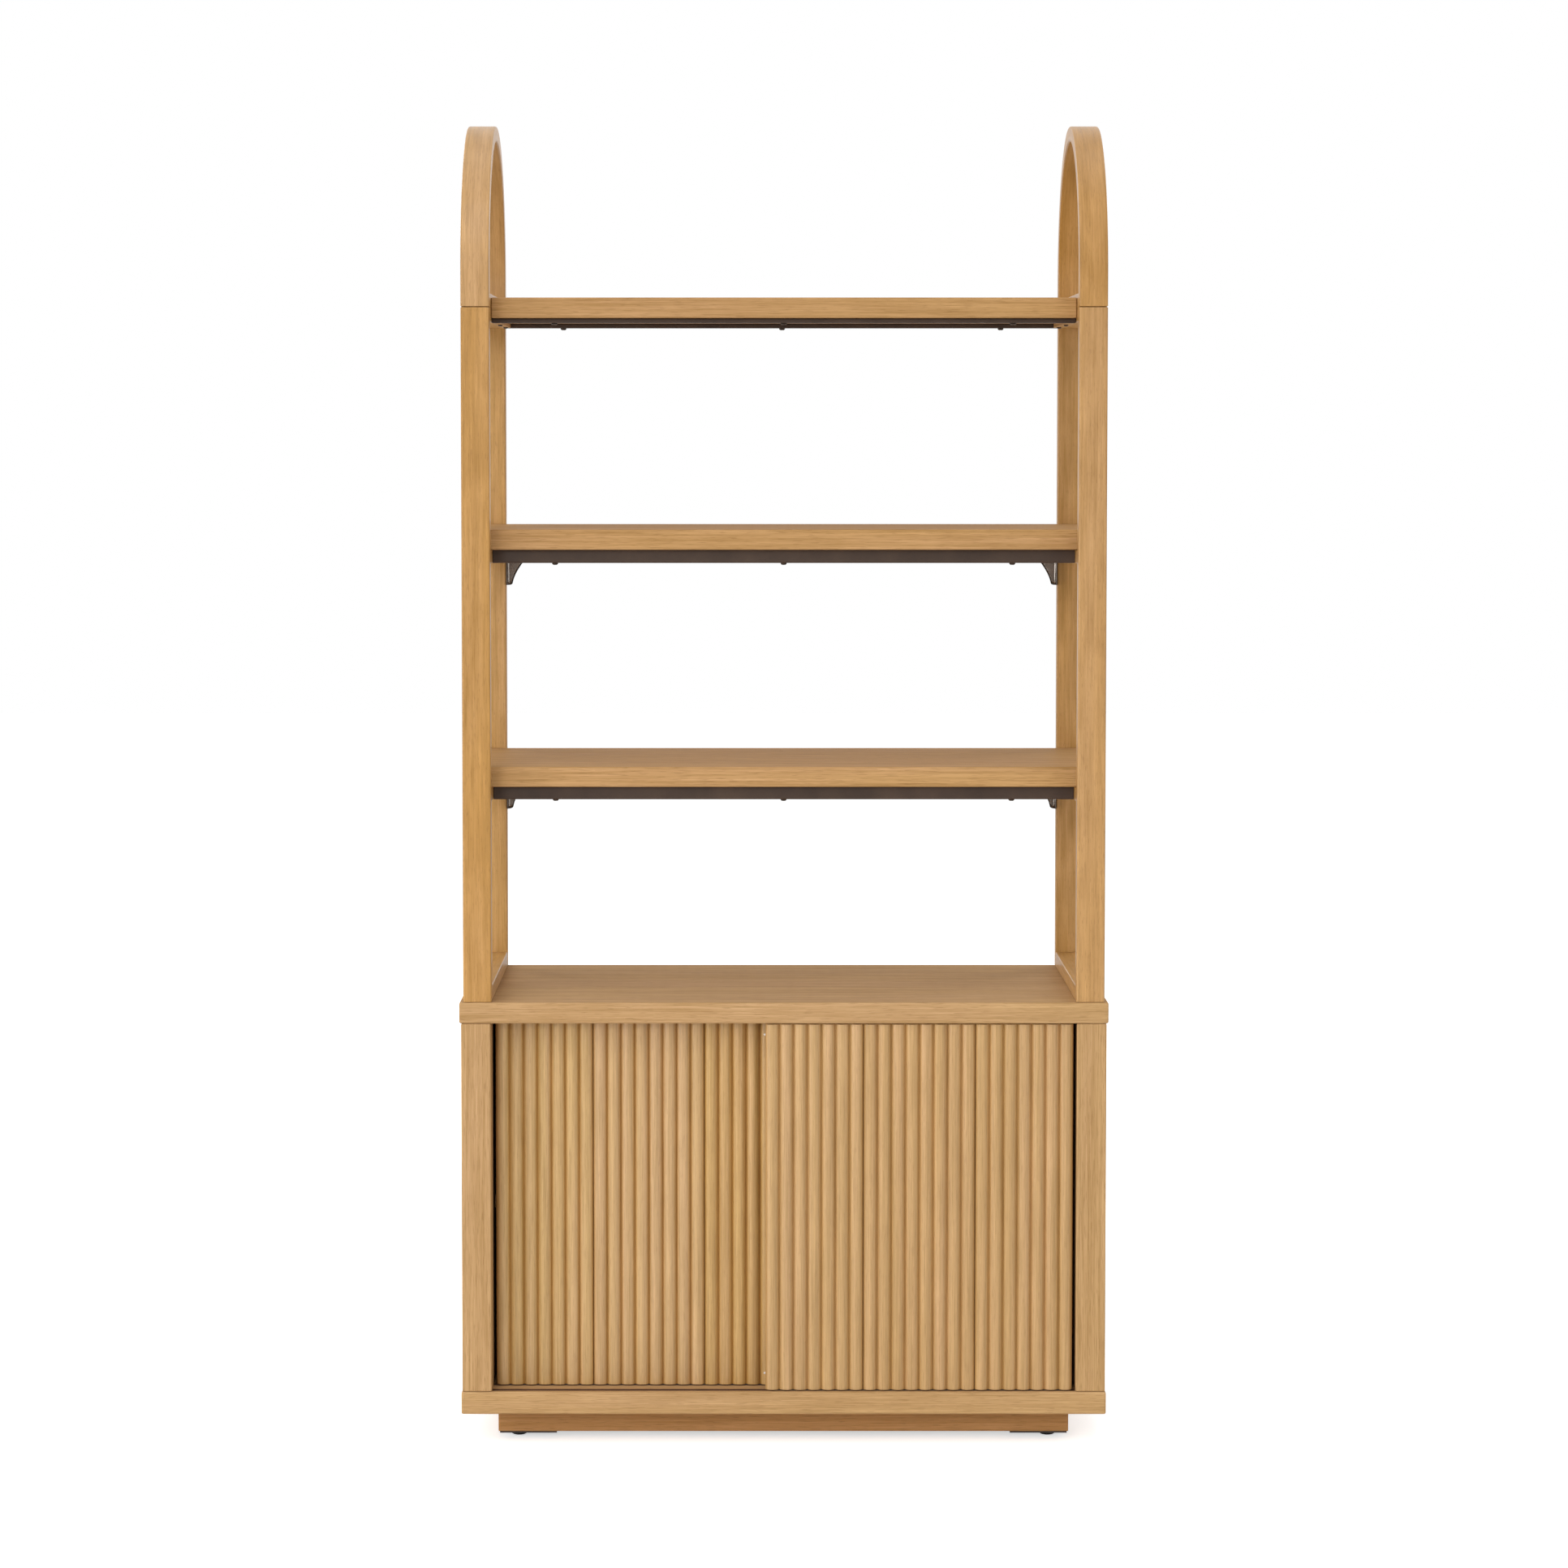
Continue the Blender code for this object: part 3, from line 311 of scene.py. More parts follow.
def pieceFromRings(name, rings, material, body, replaced=(), grain=None):
    # rings is (ring, point, 3). Quads join neighbouring points of neighbouring rings, and flat
    # faces close the ends. All are turned outwards by the sign of the enclosed volume, the sum of
    # first corner . (next corner x the one after) over each face's fan of triangles
    count, around = rings.shape[:2]
    points = rings.reshape(-1, 3)
    start = np.arange(count - 1)[:, None] * around
    here = np.arange(around)
    after = (here + 1) % around
    quads = np.stack([start + here, start + after, start + around + after, start + around + here],
                     axis=-1).reshape(-1, 4)
    caps = np.stack([here[::-1], here + (count - 1) * around])
    volume = 0
    for faces in (quads, caps):
        fan = points[faces]
        volume += (fan[:, :1] * np.cross(fan[:, 1:-1], fan[:, 2:])).sum()
    if volume < 0:
        quads, caps = quads[:, ::-1], caps[:, ::-1]
    mesh = bpy.data.meshes.new(name)
    mesh.from_pydata(points.tolist(), [], quads.tolist() + caps.tolist())
    mesh.polygons.foreach_set("use_smooth", np.ones(len(mesh.polygons), bool))
    if grain is not None:
        store = mesh.attributes.new("grain", "FLOAT_COLOR", "POINT")
        store.data.foreach_set("color", np.asarray(grain, dtype=np.float32).reshape(-1))
    mesh.update()
    weightNormals(mesh)
    mesh.materials.append(material)
    piece = bpy.data.objects.new(name, mesh)
    bpy.context.scene.collection.objects.link(piece)
    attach(piece, body)
    if replaced:
        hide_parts(*replaced)
    return piece


def weightNormals(mesh):
    # Corner normal = sum of face normal x face area over the faces that meet there, made 1 long
    faceCount, loopCount = len(mesh.polygons), len(mesh.loops)
    normals = np.empty(faceCount * 3)
    areas = np.empty(faceCount)
    sizes = np.empty(faceCount, int)
    corners = np.empty(loopCount, int)
    mesh.polygons.foreach_get("normal", normals)
    mesh.polygons.foreach_get("area", areas)
    mesh.polygons.foreach_get("loop_total", sizes)
    mesh.loops.foreach_get("vertex_index", corners)
    weighted = (normals.reshape(-1, 3) * areas[:, None]).repeat(sizes, axis=0)
    total = np.stack([np.bincount(corners, weighted[:, axis], len(mesh.vertices))
                      for axis in range(3)], axis=1)
    length = np.linalg.norm(total, axis=1, keepdims=True)
    mesh.normals_split_custom_set_from_vertices(total / np.where(length > 0, length, 1))


def roundedRectangle(halfWide, halfDeep, radius, cornerSteps=4):
    # Point = corner centre (+-(half - radius)) + radius x (cos, sin), a quarter turn for each
    # corner. The sizes are arrays with one value for each ring
    halfWide, halfDeep, radius = (size[:, None, None] for size in (halfWide, halfDeep, radius))
    turn = np.arange(4)[:, None] * np.pi / 2 + quarterTurn(cornerSteps)
    signWide = np.array([1, -1, -1, 1])[:, None]
    signDeep = np.array([1, 1, -1, -1])[:, None]
    wide = signWide * (halfWide - radius) + radius * np.cos(turn)
    deep = signDeep * (halfDeep - radius) + radius * np.sin(turn)
    return np.stack([wide, deep], axis=-1).reshape(len(wide), -1, 2)


def easedEnds(length, radius, steps=3):
    # Places along a bar and how far the section is drawn in there: a quarter circle of this radius
    # at each end, radius x (1 - cos) along and radius x (1 - sin) inwards
    turn = quarterTurn(steps)
    near = radius * (1 - np.cos(turn))
    drawnIn = radius * (1 - np.sin(turn))
    return np.concatenate([near, length - near[::-1]]), np.concatenate([drawnIn, drawnIn[::-1]])


def woodBar(name, node, axis, rounding, endRounding, material, tone, shift, box=None):
    # A rounded rectangle carried along one axis of the node's box, or of a box of its own, its ends
    # eased. The grain attribute is (across, across, along, tone)
    low, high = np.array(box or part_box(node))
    axes = {"X": (1, 2, 0), "Y": (2, 0, 1), "Z": (0, 1, 2)}[axis]
    half = (high - low) / 2
    centre = (high + low) / 2
    along, drawnIn = easedEnds(2 * half[axes[2]], endRounding)
    radius = np.maximum(rounding - drawnIn, leastRadius)
    section = roundedRectangle(half[axes[0]] - drawnIn, half[axes[1]] - drawnIn, radius)
    rings = np.empty((len(along), section.shape[1], 3))
    rings[..., axes[0]] = centre[axes[0]] + section[..., 0]
    rings[..., axes[1]] = centre[axes[1]] + section[..., 1]
    rings[..., axes[2]] = low[axes[2]] + along[:, None]
    places = rings[..., list(axes)].reshape(-1, 3) + shift * grainSteps
    grain = np.column_stack([places, np.full(len(places), tone)])
    return pieceFromRings(name, rings, material, rootBody, (node,) if node else (), grain)


# The two side frames: posts, rails and the half-round arches on top. A shift moves the grain on by
# one step for each place and one for each side, so that no two bars look the same. An arch's joint
# with its posts shows as a groove, jointOpening high and jointCore deep
frameSettings = dict(thickness=0.019, rounding=0.0022, cornerSteps=5, arcSteps=120, easeSteps=3,
                     jointEasing=0.0009, jointOpening=0.0006, jointCore=0.0024,
                     archTone={"left": 1.00, "right": 0.92}, archShift={"left": 1.7, "right": 4.3},
                     # The rear posts' tones are raised as painted light, for the lamps' light that
                     # weakens towards the back
                     postToneAndLight={"front_left": 0.95, "rear_left": 1.18, "front_right": 0.94,
                               "rear_right": 1.06}, postShift=(0.37, 0.11),
                     railRounding=0.0012, railEasing=0.0003, railTone=0.98, railShift=(0.53, 0.21),
                     rosy=("arch_left", "front_right"))


def makeArch(side):
    # Path: straight leg, half circle (cos, sin) of the middle radius, straight leg. Section: a
    # rounded rectangle across the path, drawn in a little at both feet
    s = frameSettings
    low, high = np.array(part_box("arch_" + side))
    outer = (high[1] - low[1]) / 2
    middle = outer - s["thickness"] / 2
    springLevel = high[2] - outer
    turn = np.linspace(0, np.pi, s["arcSteps"] + 1)
    foot, opening, core = s["jointEasing"], s["jointOpening"], s["jointCore"]
    ease = quarterTurn(s["easeSteps"])
    legPlaces = low[2] + np.concatenate([[0, opening], opening + foot * (1 - np.cos(ease)),
                                         [(springLevel - low[2]) / 2]])
    legInset = np.concatenate([[core, core], foot * (1 - np.sin(ease)), [0]])
    straight = np.ones(len(legPlaces))
    pathY = np.concatenate([-middle * straight, -middle * np.cos(turn), middle * straight])
    pathZ = np.concatenate([legPlaces, springLevel + middle * np.sin(turn), legPlaces[::-1]])
    outwardY = np.concatenate([-straight, -np.cos(turn), straight])
    outwardZ = np.concatenate([straight * 0, np.sin(turn), straight * 0])
    drawnIn = np.concatenate([legInset, np.zeros(len(turn)), legInset[::-1]])
    section = roundedRectangle((high[0] - low[0]) / 2 - drawnIn, s["thickness"] / 2 - drawnIn,
                               np.maximum(s["rounding"] - drawnIn, leastRadius), s["cornerSteps"])
    rings = np.stack([(high[0] + low[0]) / 2 + section[..., 0],
                      pathY[:, None] + outwardY[:, None] * section[..., 1],
                      pathZ[:, None] + outwardZ[:, None] * section[..., 1]], axis=-1)
    travelled = np.concatenate([[0], np.cumsum(np.hypot(np.diff(pathY), np.diff(pathZ)))])
    grain = np.stack([section[..., 0], section[..., 1],
                      np.broadcast_to(travelled[:, None], section.shape[:2]),
                      np.full(section.shape[:2], s["archTone"][side])], axis=-1)
    grain[..., :3] += s["archShift"][side]
    wood = rosyFrameWood if "arch_" + side in s["rosy"] else frameWood
    pieceFromRings("arch" + side.capitalize(), rings, wood, rootBody,
                   ("arch_" + side,), grain)


def makePostsAndRails(side):
    s = frameSettings
    title = side.capitalize()
    step, sideStep = s["postShift"]
    for number, place in enumerate(("front", "rear")):
        post = place + "_" + side
        wood = rosyFrameWood if post in s["rosy"] else frameWood
        woodBar(place + "Post" + title, place + "_post_" + side, "Z", s["rounding"],
                s["jointEasing"], wood, s["postToneAndLight"][post],
                step * number + sideStep * sideSigns[side])
    step, sideStep = s["railShift"]
    for number, place in enumerate(("bottom", "lower", "middle", "top")):
        woodBar(place + "Rail" + title, place + "_rail_" + side, "Y", s["railRounding"],
                s["railEasing"], frameWood, s["railTone"],
                step * number + sideStep * sideSigns[side])


for side in sideSigns:
    makeArch(side)
    makePostsAndRails(side)
print("side frames made")

# The shelf boards
shelfSettings = dict(rounding=0.0018, tone={"lower": 1.0, "middle": 0.98, "top": 0.98},
                     firstShift=0.2, shiftStep=0.61)
for number, (place, tone) in enumerate(shelfSettings["tone"].items()):
    woodBar(place + "ShelfBoard", place + "_shelf", "X", shelfSettings["rounding"],
            shelfSettings["rounding"], shelfWood, tone,
            shelfSettings["shiftStep"] * number + shelfSettings["firstShift"])
print("shelves made")

# The steel bars under the shelves and their screws. recessFade says where the arms of the cross
# recess end, in shares of its half width and reach, and over which share of the reach they fade out
barSettings = dict(height={"lower": 0.0165, "middle": 0.0165, "top": 0.0055}, wall=0.0015,
                   bend=0.0022, bendSteps=4, flatRounding=0.0009, endEasing=0.0004,
                   screwSpread=0.283, screwTurn=0.4)
screwSettings = dict(headRadius=0.0037, headHeight=0.0028, headRim=0.0010, recessHalfWidth=0.00055,
                     recessReach=0.0022, recessDepth=0.0013)
screwForm = dict(rings=[*np.linspace(0.04, 0.86, 15), 0.92, 0.96, 0.99, 1.0, 1.0], around=48,
                 seat=0.0005, recessFade=(1.6, 1.15, 0.3))


def makeBar(shelfName, place):
    # Channel: the outer line goes down a wall, round a bend, across and up again; the inner line is
    # the same line drawn in by the wall. Flat bar: a rounded rectangle. Either is carried along X
    s = barSettings
    node = shelfName + "_" + place + "_bar"
    low, high = np.array(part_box(node))
    half = (high[1] - low[1]) / 2
    middleY = (high[1] + low[1]) / 2
    height, easing = s["height"][shelfName], s["endEasing"]
    floor = high[2] - height
    ends = np.array([low[0], low[0] + easing, high[0] - easing, high[0]])
    if shelfName == "top":
        drawnIn = np.array([easing, 0, 0, easing])
        section = roundedRectangle(half - drawnIn, height / 2 - drawnIn,
                                   np.full(len(ends), s["flatRounding"]))
        section[..., 1] += height / 2
    else:
        turn = quarterTurn(s["bendSteps"])

        def trough(reach, depth, bend):
            # Left half mirrored to the right: (-reach, height), bend centre + bend x (-cos, -sin)
            left = np.stack([-reach + bend - bend * np.cos(turn),
                             depth + bend - bend * np.sin(turn)], axis=1)
            line = np.concatenate([[[-reach, height]], left])
            return np.concatenate([line, line[::-1] * [-1, 1]])

        inner = trough(half - s["wall"], s["wall"], s["bend"] - s["wall"])
        outline = np.concatenate([trough(half, 0, s["bend"]), inner[::-1]])
        section = np.broadcast_to(outline, (len(ends), *outline.shape))
    rings = np.stack([np.broadcast_to(ends[:, None], section.shape[:2]), middleY + section[..., 0],
                      floor + section[..., 1]], axis=-1)
    title = shelfName + place.capitalize()
    pieceFromRings(title + "Bar", rings, barSteel, rootBody, (node,))
    for number, screwX in enumerate((-s["screwSpread"], 0, s["screwSpread"]), start=1):
        makeScrew(title + "Screw" + str(number), (screwX, middleY, floor), s["screwTurn"] * number)


def makeScrew(name, place, turned, size=1.0):
    # Pan head hanging from its seat: height falls as rim + (height - rim) x sqrt(1 - (r / R)^2),
    # less a cross recess whose depth fades out at the sides and ends of its arms
    s = {key: value * size for key, value in screwSettings.items()}
    share = np.array(screwForm["rings"])
    radius = share * s["headRadius"]
    angle = fullTurn(screwForm["around"])
    x, y = radius[:, None] * np.cos(angle), radius[:, None] * np.sin(angle)
    dome = s["headRim"] + (s["headHeight"] - s["headRim"]) * np.sqrt(np.clip(1 - share ** 2, 0, 1))
    dome[-1] = -screwForm["seat"]
    narrow, wide = np.minimum(np.abs(x), np.abs(y)), np.maximum(np.abs(x), np.abs(y))
    sideFade, endFade, fadeLength = screwForm["recessFade"]
    arm = (np.clip((s["recessHalfWidth"] * sideFade - narrow) / s["recessHalfWidth"], 0, 1)
           * np.clip((s["recessReach"] * endFade - wide) / (s["recessReach"] * fadeLength), 0, 1))
    fall = dome[:, None] - s["recessDepth"] * arm
    cosine, sine = math.cos(turned), math.sin(turned)
    rings = np.stack([place[0] + x * cosine - y * sine, place[1] + x * sine + y * cosine,
                      place[2] - fall], axis=-1)
    pieceFromRings(name, rings, screwSteel, rootBody)


for shelfName in ("lower", "middle", "top"):
    for place in ("front", "rear"):
        makeBar(shelfName, place)
print("steel bars made")

# Wooden cleats under the ends of the top shelf, between the two flat bars, with two screws each
cleatSettings = dict(width=0.0088, height=0.0052, rounding=0.0008, endGap=0.0006, tone=0.95,
                     middleShift=0.9, sideShift=0.3, screwInset=0.0046, screwY=(-0.034, 0.090),
                     screwSize=0.8, screwTurn=0.3)


def makeCleat(side):
    s = cleatSettings
    frontBar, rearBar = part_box("top_front_bar"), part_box("top_rear_bar")
    wall, frontY, ceiling = frontBar[1]
    sign, title = sideSigns[side], side.capitalize()
    across = sorted((sign * wall, sign * (wall - s["width"])))
    box = ((across[0], frontY + s["endGap"], ceiling - s["height"]),
           (across[1], rearBar[0].y - s["endGap"], ceiling))
    woodBar("topShelfCleat" + title, None, "Y", s["rounding"], s["rounding"], shelfWood,
            s["tone"], s["middleShift"] + s["sideShift"] * sign, box)
    for number, screwY in enumerate(s["screwY"], start=1):
        place = (sign * (wall - s["screwInset"]), screwY, ceiling - s["height"])
        makeScrew("topShelfCleatScrew" + title + str(number), place, s["screwTurn"] * number,
                  s["screwSize"])


for side in sideSigns:
    makeCleat(side)
print("cleats made")

# The pressed gussets under the rear corners of the middle and lower shelves. The painted highlight
# in the inner bends has one share for each loop of the outline, from the web's rear face round to
# its front face
gussetSettings = dict(wall=0.0011, web=0.0018, lip=0.0045, bend=0.0028, innerBend=0.0019,
                      bendSteps=4, flatFrom=0.0031, foot=0.0079, spread=0.037, sweep=1.6,
                      height=0.0544, footRadius=0.0031, footSteps=5, curveSteps=24, sideSteps=12,
                      gap=0.0003, edgeEase=0.0003, innerFaceX=0.360,
                      bendHighlightShare=[0] * 9 + [0.3, 0.6, 1, 1, 1, 0.7, 0.15])


def insetLoop(curve, top, side, bottom, distance, steps):
    # The curved edge moves inwards by distance along its own normals and is sampled anew from where
    # it meets the top line; the post's side and the top follow as straight lines, so that no loop
    # crosses itself
    along = np.gradient(curve, axis=0)
    along /= np.linalg.norm(along, axis=1, keepdims=True)
    moved = curve + distance * np.stack([-along[:, 1], along[:, 0]], axis=1)
    places = np.arange(len(curve))
    start = np.interp(distance - top, -moved[:, 1], places)
    samples = np.linspace(start, len(curve) - 1, len(curve))
    edge = np.stack([np.interp(samples, places, moved[:, 0]),
                     np.interp(samples, places, moved[:, 1])], axis=1)
    post = np.stack([np.full(steps, side - distance),
                     np.linspace(bottom + distance, top - distance, steps)], axis=1)
    roof = np.stack([np.linspace(side - distance, edge[0, 0], steps + 1)[1:-1],
                     np.full(steps - 1, top - distance)], axis=1)
    return np.concatenate([edge, post, roof])


def makeGusset(shelfName, side):
    # A tray open to the front. Loops of its outline follow each other: in across the web's rear
    # face, round the bend, forward along the flanges, over their edge, back inside and in across
    # the web's front face. From the shelf down, the curved edge narrows as
    # foot + spread x (1 - drop / height) ^ sweep
    s = gussetSettings
    node = shelfName + "_gusset_" + side
    low, high = np.array(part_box(node))
    gap, ease, wall, web, steps = s["gap"], s["edgeEase"], s["wall"], s["web"], s["sideSteps"]
    bend, innerBend, footRadius = s["bend"], s["innerBend"], s["footRadius"]
    drop = np.linspace(gap, s["height"] - footRadius, s["curveSteps"] + 1)
    width = s["foot"] + s["spread"] * (1 - drop / s["height"]) ** s["sweep"]
    foot = quarterTurn(s["footSteps"])[1:]
    footX = -width[-1] + footRadius
    footCurve = np.stack([footX - footRadius * np.cos(foot),
                          footRadius - s["height"] - footRadius * np.sin(foot)], axis=1)
    curve = np.concatenate([np.stack([-width, -drop], axis=1), footCurve])
    isLip = np.concatenate([np.ones(len(curve) - 1), [0.5], np.zeros(2 * steps - 2), [0.5]])
    front, rear = low[1], high[1]
    edgeY = front + (rear - web - s["lip"] - front) * isLip      # the curved flange is a low lip
    turn = quarterTurn(s["bendSteps"])
    level = np.ones(len(isLip))
    outside = ([(s["flatFrom"], rear * level)]
               + [(bend * (1 - np.sin(a)), (rear - bend * (1 - np.cos(a))) * level) for a in turn])
    edge = [(0.0, edgeY + ease), (ease, edgeY), (wall - ease, edgeY), (wall, edgeY + ease)]
    inside = ([(wall + innerBend * (1 - np.cos(a)),
                (rear - web - innerBend * (1 - np.sin(a))) * level) for a in turn]
              + [(s["flatFrom"], (rear - web) * level)])
    layers = outside + edge + inside
    flat = np.stack([insetLoop(curve, -gap, -gap, -s["height"], distance, steps)
                     for distance, _ in layers])
    rings = np.stack([sideSigns[side] * (s["innerFaceX"] + flat[..., 0]),
                      np.stack([depth for _, depth in layers]),
                      high[2] + gap + flat[..., 1]], axis=-1)
    piece = pieceFromRings(shelfName + "Gusset" + side.capitalize(), rings, gussetSteel, rootBody,
                           (node,))
    # Painted highlight in the inner bends, one share for each loop
    bendHighlightShare = np.repeat(s["bendHighlightShare"], len(level)).astype(np.float32)
    store = piece.data.attributes.new("bendHighlightShare", "FLOAT", "POINT")
    store.data.foreach_set("value", bendHighlightShare)
    # The rows of faces over the sheet's edge have the darker finish of the sheared edge
    piece.data.materials.append(gussetEdge)
    finish = np.zeros(len(piece.data.polygons), np.int32)
    edgeFrom, edgeTo = len(outside), len(outside) + len(edge) - 1
    finish[edgeFrom * len(level):edgeTo * len(level)] = 1
    piece.data.polygons.foreach_set("material_index", finish)


for shelfName in ("middle", "lower"):
    for side in sideSigns:
        makeGusset(shelfName, side)
print("gussets made")

# The sliding doors, three fluted boards each. tones has one tone for each board, the flute setting
# is how much painted shade darkens the flutes' floors, more on the left door, which stands further
# back, and golden names the boards cut from more golden wood. The ribs keep clear of ribMargin of
# the eased edge, and the grain pattern's depth is scaled by grainDepth
doorSettings = dict(ribs=(7, 8, 7), ribDepth=0.0055, ribSteps=24, ribMargin=0.6, valley=0.0006,
                    gap=0.0003, thickness=0.019, guideSetback=0.0093, headHalf=0.0033,
                    headHeight=0.0067, headEasing=0.0004, tongueSetback=0.0105,
                    tongueThickness=0.004, tongueLength=0.004, tongueEasing=0.0004,
                    edgeEasing=0.0006, endEasing=0.0007, easeSteps=3,
                    fluteShade={"left": 0.42, "right": 0.20},
                    tones={"left": (1.14, 1.07, 1.02), "right": (1.02, 0.98, 0.98)},
                    golden={"left": (1, 3), "right": ()}, grainDepth=0.6,
                    firstShift={"left": 0.13, "right": 2.9}, shiftStep=0.47)


def doorOutline(number, lowX, highX):
    # A board seen from above, with the guide's middle at Y 0. Its ribs are arcs side by side, with
    # a narrow flat valley between them and a radius of (chord ^ 2 / 4 + depth ^ 2) / (2 x depth).
    # The rear is straight, with a tongue or a groove at the joints. The ribs' points come first
    s = doorSettings
    ribs = s["ribs"][number - 1]
    pitch = (highX - lowX) / ribs
    chord = pitch - s["valley"]
    radius = (chord ** 2 / 4 + s["ribDepth"] ** 2) / (2 * s["ribDepth"])
    reach = math.asin(chord / 2 / radius)
    angle = np.linspace(-reach, reach, s["ribSteps"] + 1)
    front = -s["guideSetback"]
    ribX = lowX + pitch * (np.arange(ribs)[:, None] + 0.5) + radius * np.sin(angle)
    ribY = np.broadcast_to(front + radius * (1 - np.cos(angle)), ribX.shape)
    faceX, faceY = ribX.ravel(), ribY.ravel()
    valleyY = front + s["ribDepth"]
    rear = front + s["thickness"]
    ease, gap = s["edgeEasing"], s["gap"]
    leftX = lowX + (gap / 2 if number > 1 else 0)
    rightX = highX - (gap / 2 if number < len(s["ribs"]) else 0)
    margin = ease * s["ribMargin"]
    keep = (faceX > leftX + margin) & (faceX < rightX - margin)
    faceX, faceY = faceX[keep], faceY[keep]
    tongueFront = front + s["tongueSetback"]
    tongueRear = tongueFront + s["tongueThickness"]
    rightSide = [(rightX, valleyY + ease)]
    if number < len(s["ribs"]):
        tip = rightX + s["tongueLength"]
        soft = s["tongueEasing"]
        rightSide += [(rightX, tongueFront), (tip - soft, tongueFront), (tip, tongueFront + soft),
                      (tip, tongueRear - soft), (tip - soft, tongueRear), (rightX, tongueRear)]
    rightSide += [(rightX, rear - ease), (rightX - ease, rear)]
    leftSide = [(leftX + ease, rear), (leftX, rear - ease)]
    if number > 1:
        floorX = leftX + s["tongueLength"]
        leftSide += [(leftX, tongueRear + gap), (floorX, tongueRear + gap),
                     (floorX, tongueFront - gap), (leftX, tongueFront - gap)]
    leftSide += [(leftX, valleyY + ease)]
    return np.concatenate([np.stack([faceX, faceY], axis=1), rightSide, leftSide]), len(faceX)


def makeDoorBoard(side, number, lowX, highX, guideY):
    # The outline is carried up the door with eased ends, and at the head it is held within the head
    # tongue's thickness. Painted shade darkens the flutes' floors: the tone falls there as
    # 1 - shade x (depth / rib depth) ^ 2
    s = doorSettings
    outline, ribPoints = doorOutline(number, lowX, highX)
    low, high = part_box(side + "_door_board_" + str(number))
    foot, head = low.z, high.z
    shoulder = head - s["headHeight"]
    front = -s["guideSetback"]
    middleY = (front + front + s["thickness"]) / 2
    # Levels up the door, how far the outline is drawn in there and how far it may reach in depth
    ease, soft = s["endEasing"], s["headEasing"]
    turn = quarterTurn(s["easeSteps"])
    levels = np.concatenate([foot + ease * (1 - np.cos(turn)),
                             shoulder - ease * (1 - np.cos(turn[::-1])),
                             [shoulder, head - soft, head]])
    drawnIn = np.concatenate([ease * (1 - np.sin(turn)), ease * (1 - np.sin(turn[::-1])),
                              [0, 0, soft]])
    half = np.concatenate([np.full(2 * len(turn), s["thickness"]),
                           [s["headHalf"], s["headHalf"], s["headHalf"] - soft]])
    y = np.broadcast_to(outline[:, 1], (len(levels), len(outline)))
    y = y + np.sign(middleY - y) * np.minimum(drawnIn[:, None], np.abs(middleY - y))
    y = np.clip(y, -half[:, None], half[:, None])
    x = np.broadcast_to(outline[:, 0], y.shape)
    rings = np.stack([x, guideY + y, np.broadcast_to(levels[:, None], y.shape)], axis=-1)
    shift = s["shiftStep"] * number + s["firstShift"][side]
    # Painted shade: the tone falls towards each flute's floor
    toneAndShade = np.ones(len(outline))
    depth = (outline[:ribPoints, 1] - front) / s["ribDepth"]
    toneAndShade[:ribPoints] -= s["fluteShade"][side] * depth ** 2
    tone = np.tile(toneAndShade * s["tones"][side][number - 1], len(levels))
    grain = np.column_stack([x.ravel() + shift, y.ravel() * s["grainDepth"] + shift,
                             rings[..., 2].ravel() + shift * 2, tone])
    wood = goldenDoorWood if number in s["golden"][side] else doorWood
    pieceFromRings(side + "DoorBoard" + str(number), rings, wood, side + "_door",
                   (side + "_door_board_" + str(number),), grain)


for side in sideSigns:
    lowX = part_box(side + "_door_board_1")[0].x
    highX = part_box(side + "_door_board_3")[1].x
    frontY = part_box(side + "_door_board_1")[0].y
    pitch = (highX - lowX) / sum(doorSettings["ribs"])
    edges = lowX + pitch * np.concatenate([[0], np.cumsum(doorSettings["ribs"])])
    for number, (left, right) in enumerate(zip(edges[:-1], edges[1:]), start=1):
        makeDoorBoard(side, number, left, right, frontY + doorSettings["guideSetback"])
print("sliding doors made")

# Stick-on bumpers on the doors' inner edges, which meet the cabinet's side at the end of the slide
bumperSettings = dict(radius=0.0017, height=0.0023, seat=0.0004, rearInset=0.0070,
                      levels=(0.089, 0.512), firstAngle=3, domeRings=12, around=32)


def makeBumpers(side):
    # Dome: radius x sin(angle) wide, height x cos(angle) high, its foot a little into the wood
    s = bumperSettings
    low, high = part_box(side + "_door_board_" + ("3" if side == "left" else "1"))
    doorEdge = high.x if side == "left" else low.x
    rise = np.linspace(math.radians(s["firstAngle"]), math.pi / 2, s["domeRings"])
    wide = np.append(s["radius"] * np.sin(rise), s["radius"])[:, None]
    tall = np.append(s["height"] * np.cos(rise), -s["seat"])[:, None]
    angle = fullTurn(s["around"])
    for number, level in enumerate(s["levels"], start=1):
        rings = np.stack([doorEdge - sideSigns[side] * tall + 0 * angle,
                          high.y - s["rearInset"] + wide * np.cos(angle),
                          level + wide * np.sin(angle)], axis=-1)
        pieceFromRings(side + "DoorBumper" + str(number), rings, bumperSilicone, side + "_door")


for side in sideSigns:
    makeBumpers(side)
print("bumpers made")

# The levelling glides under the plinth
glideSettings = dict(height=0.0064, radius=0.0108, flatRadius=0.0064, rim=0.0014, rimEasing=0.0004,
                     rimSteps=3, domeSteps=8, firstRadius=0.0004, collar=0.0006, stemRadius=0.003,
                     stemLength=0.026, stemFrom=0.0002, stemRings=120, tipEasing=0.0006,
                     threadFrom=0.001, threadPitch=0.00125, threadDepth=0.0003, around=40)


